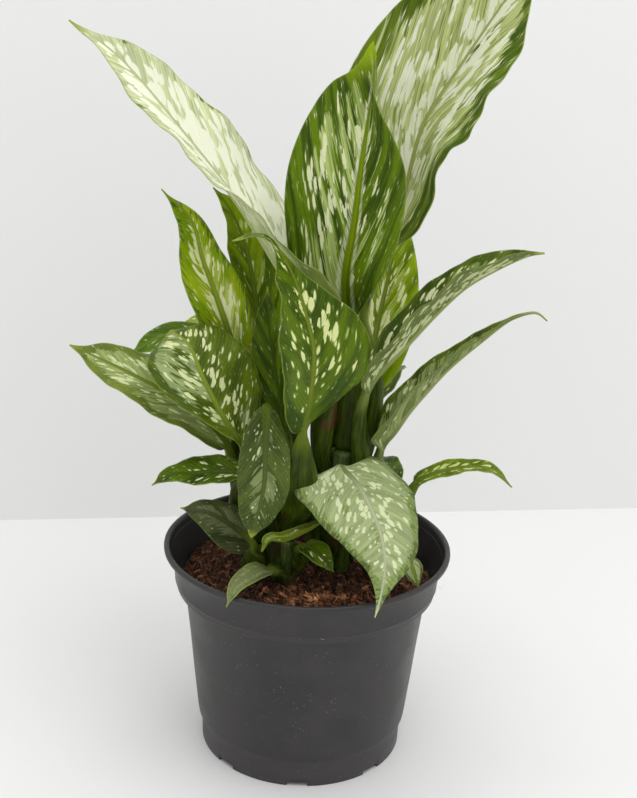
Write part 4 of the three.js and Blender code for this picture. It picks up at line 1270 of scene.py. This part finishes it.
def leaf_finish(name, seed):
    finish, tree, shader = new_finish(f"{name} leaf")
    grain = Grain(tree, seed)
    own = {**PLAIN_LOOK, **LOOKS.get(name, {})}
    look = SimpleNamespace(**{**TONES[own["tone"]], **own})
    colour = green_ground(grain, look)
    for layer in (cream_pattern, flecks_and_outline, rib_and_tip, stalk_and_underside):
        colour = layer(grain, look, colour)
    tree.links.new(colour, shader.inputs["Base Color"])
    gloss = ramp(tree, grain.streaks(6, 9, 51.0), 0.3, 0.7, 0.30, 0.42)
    tree.links.new(plus(tree, gloss, times(tree, grain.under, 0.15)), shader.inputs["Roughness"])
    bumped(tree, shader, plus(tree, times(tree, grain.ridges, 0.3), grain.lines), 0.0005, 0.4)
    shader.inputs["Specular IOR Level"].default_value = LEAF_SPECULAR

    glow = add(tree, "ShaderNodeBsdfTranslucent")
    tree.links.new(blend(tree, 1.0, colour, LIGHT_THROUGH, "MULTIPLY"), glow.inputs["Color"])
    leafy = add(tree, "ShaderNodeMixShader", {0: look.thin, 1: shader.outputs[0], 2: glow.outputs[0]})
    tree.links.new(leafy.outputs[0], tree.nodes["Material Output"].inputs["Surface"])
    return finish


print("specular level of a leaf", LEAF_SPECULAR)

# %% [markdown]
# All the leaves
#
# Everything is ready, so a loop makes the thirty-one leaves. Each gets a finish of its own, because its
# look differs, and a seed of its own, because the same noise on every leaf would be noticed at once.

# %% Leaves
SEED_STEP = 7.3
triangles = 0
for number, (name, leaf) in enumerate(LEAVES.items()):
    made = leaf_piece(name, leaf, leaf_finish(name, SEED_STEP * number))
    triangles += 2 * len(made.data.polygons)
print("leaves", len(LEAVES), "triangles", triangles)

# %% [markdown]
# The pot
#
# A nursery pot is moulded: a foot with drainage notches, a tapered wall, a collar and a rolled lip. A
# turned profile gives all but the notches. Those are made by adding columns at each notch's two sides
# and lifting the foot's edge between them, which keeps the mesh clean where a boolean might not. Each
# point of the profile is a radius and a height, from the middle of the base out, up and in again.

# %% Shape of the pot
FOOT_RADIUS = 61
UNDERSIDE = [(24, 0), (25.5, 1.2), (27, 3.5), (51, 3.5), (53.2, 1.2), (54, 0)]
FOOT = [(60.6, 0), (FOOT_RADIUS, 0.4), (61.15, 6), (61.25, 12), (61.3, 16.6), (61.7, 17.3), (63.0, 17.9),
        (63.4, 18.6)]
BODY = [(63.8, 21), (66.4, 45), (69.2, 73), (72.3, 100.4)]
COLLAR = [(72.6, 101.1), (76.6, 101.9), (77.1, 102.4), (77.3, 103.4)]
MOULD_RING = [(77.9, 106.3), (78.35, 106.7), (78.2, 107.4)]
LIP = [(80.4, 122.8), (81.0, 123.6), (84.2, 124.6), (84.8, 125.3), (85, 126.4), (84.85, 127.5),
       (84.3, 128), (82.8, 128), (82.0, 127.5), (81.5, 126.4)]
INSIDE = [(76.3, 105), (75.4, 103.6), (71.2, 99.5), (70.5, 97.6), (67.4, 73), (64.6, 45), (61.6, 21),
          (59.4, 15.4), (59.2, 8), (58.2, 6.4), (57, 6)]
PROFILE = UNDERSIDE + FOOT + BODY + COLLAR + MOULD_RING + LIP + INSIDE
POT_COLUMNS = 192
NOTCHES = 8
NOTCH_WIDTH, NOTCH_HEIGHT = 12, 2.6
NOTCH_HALF = math.degrees(0.5 * NOTCH_WIDTH / FOOT_RADIUS)
NOTCHED_FROM = 51.5
NOTCH_MIDDLES = [360 / NOTCHES * k - 90.5 for k in range(NOTCHES)]


def away_from(turn, middle):
    return abs((turn - middle + 180) % 360 - 180)


def pot_turns():
    turns = set(np.round(np.linspace(0, 360, POT_COLUMNS, endpoint=False), 3))
    for middle in NOTCH_MIDDLES:
        turns = {t for t in turns if abs(away_from(t, middle) - NOTCH_HALF) > 0.7}
        sides = (-NOTCH_HALF - 0.25, -NOTCH_HALF, NOTCH_HALF, NOTCH_HALF + 0.25)
        turns |= {round((middle + side) % 360, 3) for side in sides}
    return sorted(turns)


def pot_mesh():
    columns = []
    for t in pot_turns():
        in_notch = min(away_from(t, middle) for middle in NOTCH_MIDDLES) < NOTCH_HALF + 0.1
        columns.append((math.cos(math.radians(t)), math.sin(math.radians(t)), in_notch))
    rings = []
    for r, z in PROFILE:
        lifted = NOTCH_HEIGHT if r > NOTCHED_FROM and z < NOTCH_HEIGHT else z
        rings.append([(r * x, r * y, lifted if in_notch else z) for x, y, in_notch in columns])
    return loft(rings)


print("profile points", len(PROFILE), "columns", len(pot_turns()))

# %% [markdown]
# The plastic is nearly black, a little cloudy, and a shade lighter on its foot. There are specks of dust
# on it, and scuffs like short level strokes. One flat grey would look like a drawing, so each of these is
# a soft mask of noise or of Voronoi cells over the plain colour, faint enough to be seen only close by.

# %% Finish of the pot
POT_DARK, POT_LIGHT = (0.022, 0.0200, 0.0205), (0.035, 0.0320, 0.0315)
POT_FOOT_GREY = (0.052, 0.046, 0.046)
DUST_GREY = (0.15, 0.135, 0.12)
SCUFF_GREY = (0.085, 0.08, 0.075)

pot_finish, tree, shader = new_finish("pot plastic", 0.45)
shader.inputs["Specular IOR Level"].default_value = 0.4
place = object_place(tree)
cloudy = noise(tree, place, 35.0, 4.0, 0.6)
plastic = blend(tree, ramp(tree, cloudy, 0.35, 0.7), POT_DARK, POT_LIGHT)
foot = ramp(tree, parts(tree, place)[2], 0.0174, 0.0164, 0.0, 0.5)
plastic = blend(tree, foot, plastic, POT_FOOT_GREY)
specks = add(tree, "ShaderNodeTexVoronoi", {"Vector": place, "Scale": 520.0}, feature="F1").outputs
rare = maths(tree, "GREATER_THAN", parts(tree, specks["Color"])[0], 0.72)
dust = times(tree, ramp(tree, specks["Distance"], 0.10, 0.30, 0.7, 0.0), rare)
dust = times(tree, dust, ramp(tree, noise(tree, place, 55.0, 2.0), 0.42, 0.62))
plastic = blend(tree, dust, plastic, DUST_GREY)
scuffs = ramp(tree, noise(tree, stretched(tree, place, (260, 260, 1400)), 1.0, 2.0), 0.70, 0.78, 0.0, 0.35)
scuffs = times(tree, scuffs, ramp(tree, noise(tree, place, 28.0), 0.5, 0.65))
plastic = blend(tree, scuffs, plastic, SCUFF_GREY)
tree.links.new(plastic, shader.inputs["Base Color"])
tree.links.new(ramp(tree, cloudy, 0.3, 0.7, 0.36, 0.52), shader.inputs["Roughness"])
bumped(tree, shader, noise(tree, place, 1400.0, 3.0), 0.0002, 0.25)

made = piece("nursery_pot", *pot_mesh(), pot_finish, "pot")
for face in made.data.polygons:
    face.use_smooth = len(face.vertices) == 4
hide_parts("pot")
print("pot triangles", 2 * len(made.data.polygons))

# %% [markdown]
# The soil
#
# Coir is crumbly and matted with fibres. Sculpting its top by hand would be slow, so the lump is a fine
# round grid whose height is the CAD soil's gentle bumps plus many small waves, drawn from one seeded list
# of random numbers so that they come out the same every time.

# %% Shape of the soil
dice = np.random.default_rng(11)
SOIL_RADIUS = 73.8
SOIL_COLUMNS, SOIL_RINGS = 260, 96
MIDDLE_RADIUS = 0.6
SOIL_SIDE = ((56.8, 6.4), (58.8, 15), (61.2, 21), (69.9, 97.6), (74.0, 104.2))
ROUND = 2 * np.pi
WAVES = [(dice.uniform(0.5, 2.6), dice.uniform(0, ROUND), dice.uniform(0, ROUND)) for _ in range(60)]


def soil_height(x, y):
    lumps = np.sin(0.19 * x + 1.3) * np.cos(0.23 * y - 0.4) + 0.6 * np.sin(0.41 * x - 0.37 * y)
    even = 0.35 * np.sin(0.93 * x + 0.4) * np.sin(0.87 * y + 1.1)
    fine = sum(np.sin(f * (x * math.cos(a) + y * math.sin(a)) + p) / (0.8 + f) for f, a, p in WAVES)
    lower_edge = 1.6 * np.clip((np.hypot(x, y) - 66) / 8, 0, 1)
    return SOIL_LEVEL + 1.2 * (lumps + even) + 0.5 * fine - lower_edge


def soil_mesh():
    turns = np.linspace(0, ROUND, SOIL_COLUMNS, endpoint=False)
    rings = [[(r * math.cos(t), r * math.sin(t), z) for t in turns] for r, z in SOIL_SIDE]
    for r in np.linspace(SOIL_RADIUS, MIDDLE_RADIUS, SOIL_RINGS):
        x, y = r * np.cos(turns), r * np.sin(turns)
        rings.append(np.stack([x, y, soil_height(x, y)], 1))
    return loft(rings)


print("soil in the middle", round(float(soil_height(0, 0)), 1), "mm above the floor")

# %% [markdown]
# Damp coir is dark brown, painted nearly black between its crumbs as shade in the hollows, and reddish
# brown on them. Where it is dry it is lighter, and a patch at the front is orange, partly the coir's own
# colour and partly a painted pool of light. A second object could lie there, but a mask keeps the soil in
# one piece. The mask is the distance from one place, in coordinates stretched front to back, so that the
# patch comes out wide and short.

# %% Finish of the soil
DAMP_AND_SHADE_BROWN, CRUMB_BROWN, DRY_BROWN = (0.008, 0.004, 0.003), (0.150, 0.056, 0.026), (0.22, 0.085, 0.04)
# Partly the coir's own orange, partly a painted pool of light at the front.
ORANGE = (0.28, 0.10, 0.042)
ORANGE_MIDDLE = (0.006, -0.089, 0.106)
ORANGE_STRETCH = (1, 2.4, 1)

coir_finish, tree, shader = new_finish("coir", 0.95)
place = object_place(tree)
crumbs = noise(tree, place, 620.0, 4.0, 0.65)
# Near black in the hollows between crumbs: painted shade over the damp coir's own dark brown.
brown = blend(tree, ramp(tree, crumbs, 0.35, 0.68), DAMP_AND_SHADE_BROWN, CRUMB_BROWN)
dry = ramp(tree, noise(tree, place, 45.0, 2.0), 0.48, 0.68)
brown = blend(tree, times(tree, dry, ramp(tree, crumbs, 0.45, 0.6, 0.0, 0.8)), brown, DRY_BROWN)
ends = {0: stretched(tree, place, ORANGE_STRETCH), 1: ORANGE_MIDDLE}
apart = add(tree, "ShaderNodeVectorMath", ends, operation="DISTANCE").outputs["Value"]
orange = times(tree, ramp(tree, apart, 0.010, 0.026, 1.0, 0.0), ramp(tree, crumbs, 0.40, 0.56))
brown = blend(tree, orange, brown, ORANGE)
tree.links.new(brown, shader.inputs["Base Color"])
bumped(tree, shader, crumbs, 0.001, 0.9)
made = piece("coir", *soil_mesh(), coir_finish, "soil")
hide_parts("soil")
print("soil triangles", 2 * len(made.data.polygons))

# %% [markdown]
# Fibres and chips
#
# Loose fibres are thin bent threads, and chips are small splinters. Both lie mostly flat. Hair curves
# would be quicker for the fibres, but they are no solid shapes, so each is a tapered tube with three
# sides, and each chip a short bar with uneven rows.

# %% Shapes of fibres and chips
LITTER_REACH = 71
FIBRE_STEPS = 7
FIBRE_BEND = 0.24
CHIP_ROWS = ((-0.5, 0.3), (-0.28, 0.9), (0.05, 1.0), (0.3, 0.7), (0.5, 0.25))
CHIP_CORNERS = ((0.5, 0.5), (-0.5, 0.4), (-0.45, -0.5), (0.4, -0.45))


def spot_on_soil():
    while True:
        x, y = dice.uniform(-LITTER_REACH, LITTER_REACH, 2)
        if math.hypot(x, y) < LITTER_REACH:
            return np.array([x, y])


def fibre(start, heading, length, thick, arch):
    points = []
    at = np.array(start, float)
    for k in range(FIBRE_STEPS + 1):
        share = k / FIBRE_STEPS
        points.append(np.array([*at, soil_height(*at) + thick + 4 * arch * share * (1 - share) - 0.2]))
        heading += dice.normal(0, FIBRE_BEND)
        at = at + length / FIBRE_STEPS * np.array([math.cos(heading), math.sin(heading)])
    rings = []
    for k, middle in enumerate(points):
        ahead = unit(points[min(k + 1, FIBRE_STEPS)] - points[max(k - 1, 0)])
        side = unit(np.cross(ahead, (0, 0, 1)))
        lifted = np.cross(side, ahead)
        size = thick * (1 - 0.7 * k / FIBRE_STEPS)
        rings.append([middle + size * (math.cos(a) * side + math.sin(a) * lifted) for a in (0.5, 2.6, 4.7)])
    return loft(rings)


def chip(start, heading, length, width, thick, tilt):
    level = math.cos(tilt)
    ahead = np.array([math.cos(heading) * level, math.sin(heading) * level, math.sin(tilt)])
    side = unit(np.cross(ahead, (0, 0, 1)))
    lifted = np.cross(side, ahead)
    middle = np.array([*start, soil_height(*start) + 0.6 * thick + dice.uniform(0, 1.6)])
    rings = []
    for share, size in CHIP_ROWS:
        size *= dice.uniform(0.75, 1.1)
        centre = middle + share * length * ahead + dice.normal(0, 0.12 * width) * side
        rings.append([centre + size * (a * width * side + b * thick * lifted) for a, b in CHIP_CORNERS])
    return loft(rings)


print("litter lies within", LITTER_REACH, "mm of the middle")

# %% [markdown]
# Three thousand objects would be slow to handle, so all fibres are joined into one piece and all chips
# into another. Their tone is noted on each point, so that one finish can colour them all, from nearly
# black to orange. As in the photograph, the front has more chips than the rest, and lighter ones, partly
# orange coir and partly a painted pool of light.

# %% Scatter the litter
LITTER_COUNT = 1500
FRONT_X, FRONT_Y = 6, -37
FRONT_WIDTH, FRONT_DEPTH = 24, 8
# The orange end of the litter's tones is partly a painted pool of light on the front chips.
LITTER_DARK, LITTER_RED, LITTER_ORANGE = (0.020, 0.009, 0.006), (0.34, 0.135, 0.060), (0.92, 0.44, 0.17)


def litter(name, shapes, finish):
    points, faces, tones = [], [], []
    count = 0
    for (where, which), tone in shapes:
        points.append(where)
        faces += [[i + count for i in face] for face in which]
        tones += [tone] * len(where)
        count += len(where)
    made = piece(name, np.concatenate(points), faces, finish, "soil", smooth=False)
    note(made, "tone", tones)
    print(name, count, "points")


# How much lighter the front's litter is: partly orange coir, partly a painted pool of light.
def front_orange_and_light(spot):
    off_x, off_y = (spot[0] - FRONT_X) / FRONT_WIDTH, (spot[1] - FRONT_Y) / FRONT_DEPTH
    return float(np.exp(-(off_x**2 + off_y**2)))


litter_finish, tree, shader = new_finish("coir litter", 0.85)
own_tone = noted(tree, "tone")
colour = blend(tree, ramp(tree, own_tone, 0.0, 0.5), LITTER_DARK, LITTER_RED)
colour = blend(tree, ramp(tree, own_tone, 0.5, 1.0), colour, LITTER_ORANGE)
grains = ramp(tree, noise(tree, object_place(tree), 1500.0, 2.0), 0.3, 0.7, 0.6, 1.3)
tree.links.new(blend(tree, 1.0, colour, grains, "MULTIPLY"), shader.inputs["Base Color"])

fibres, chips = [], []
for _ in range(LITTER_COUNT):
    spot = spot_on_soil()
    tone = np.clip(dice.beta(0.8, 1.5) + 0.2 * front_orange_and_light(spot), 0, 1)
    heading, length, thick = dice.uniform(0, ROUND), dice.uniform(4, 18), dice.uniform(0.09, 0.22)
    fibres.append((fibre(spot, heading, length, thick, dice.uniform(0.4, 2.8)), tone))
for number in range(LITTER_COUNT):
    spot = spot_on_soil()
    if number % 4 == 0:
        spot = np.array([FRONT_X + 16 * dice.normal(), FRONT_Y - 1 + 6 * dice.normal()])
    if math.hypot(*spot) > LITTER_REACH + 1:
        continue
    tone = np.clip(0.6 * dice.beta(1.4, 2.2) + 0.6 * dice.uniform(0, 1) * front_orange_and_light(spot), 0, 1)
    heading, length = dice.uniform(0, ROUND), dice.uniform(1.5, 3.0 + 6 * tone)
    width, thick = dice.uniform(0.8, 2.0 + 2 * tone), dice.uniform(0.6, 1.6)
    chips.append((chip(spot, heading, length, width, thick, dice.normal(0, 0.45)), tone))
litter("coir_fibres", fibres, litter_finish)
litter("coir_chips", chips, litter_finish)
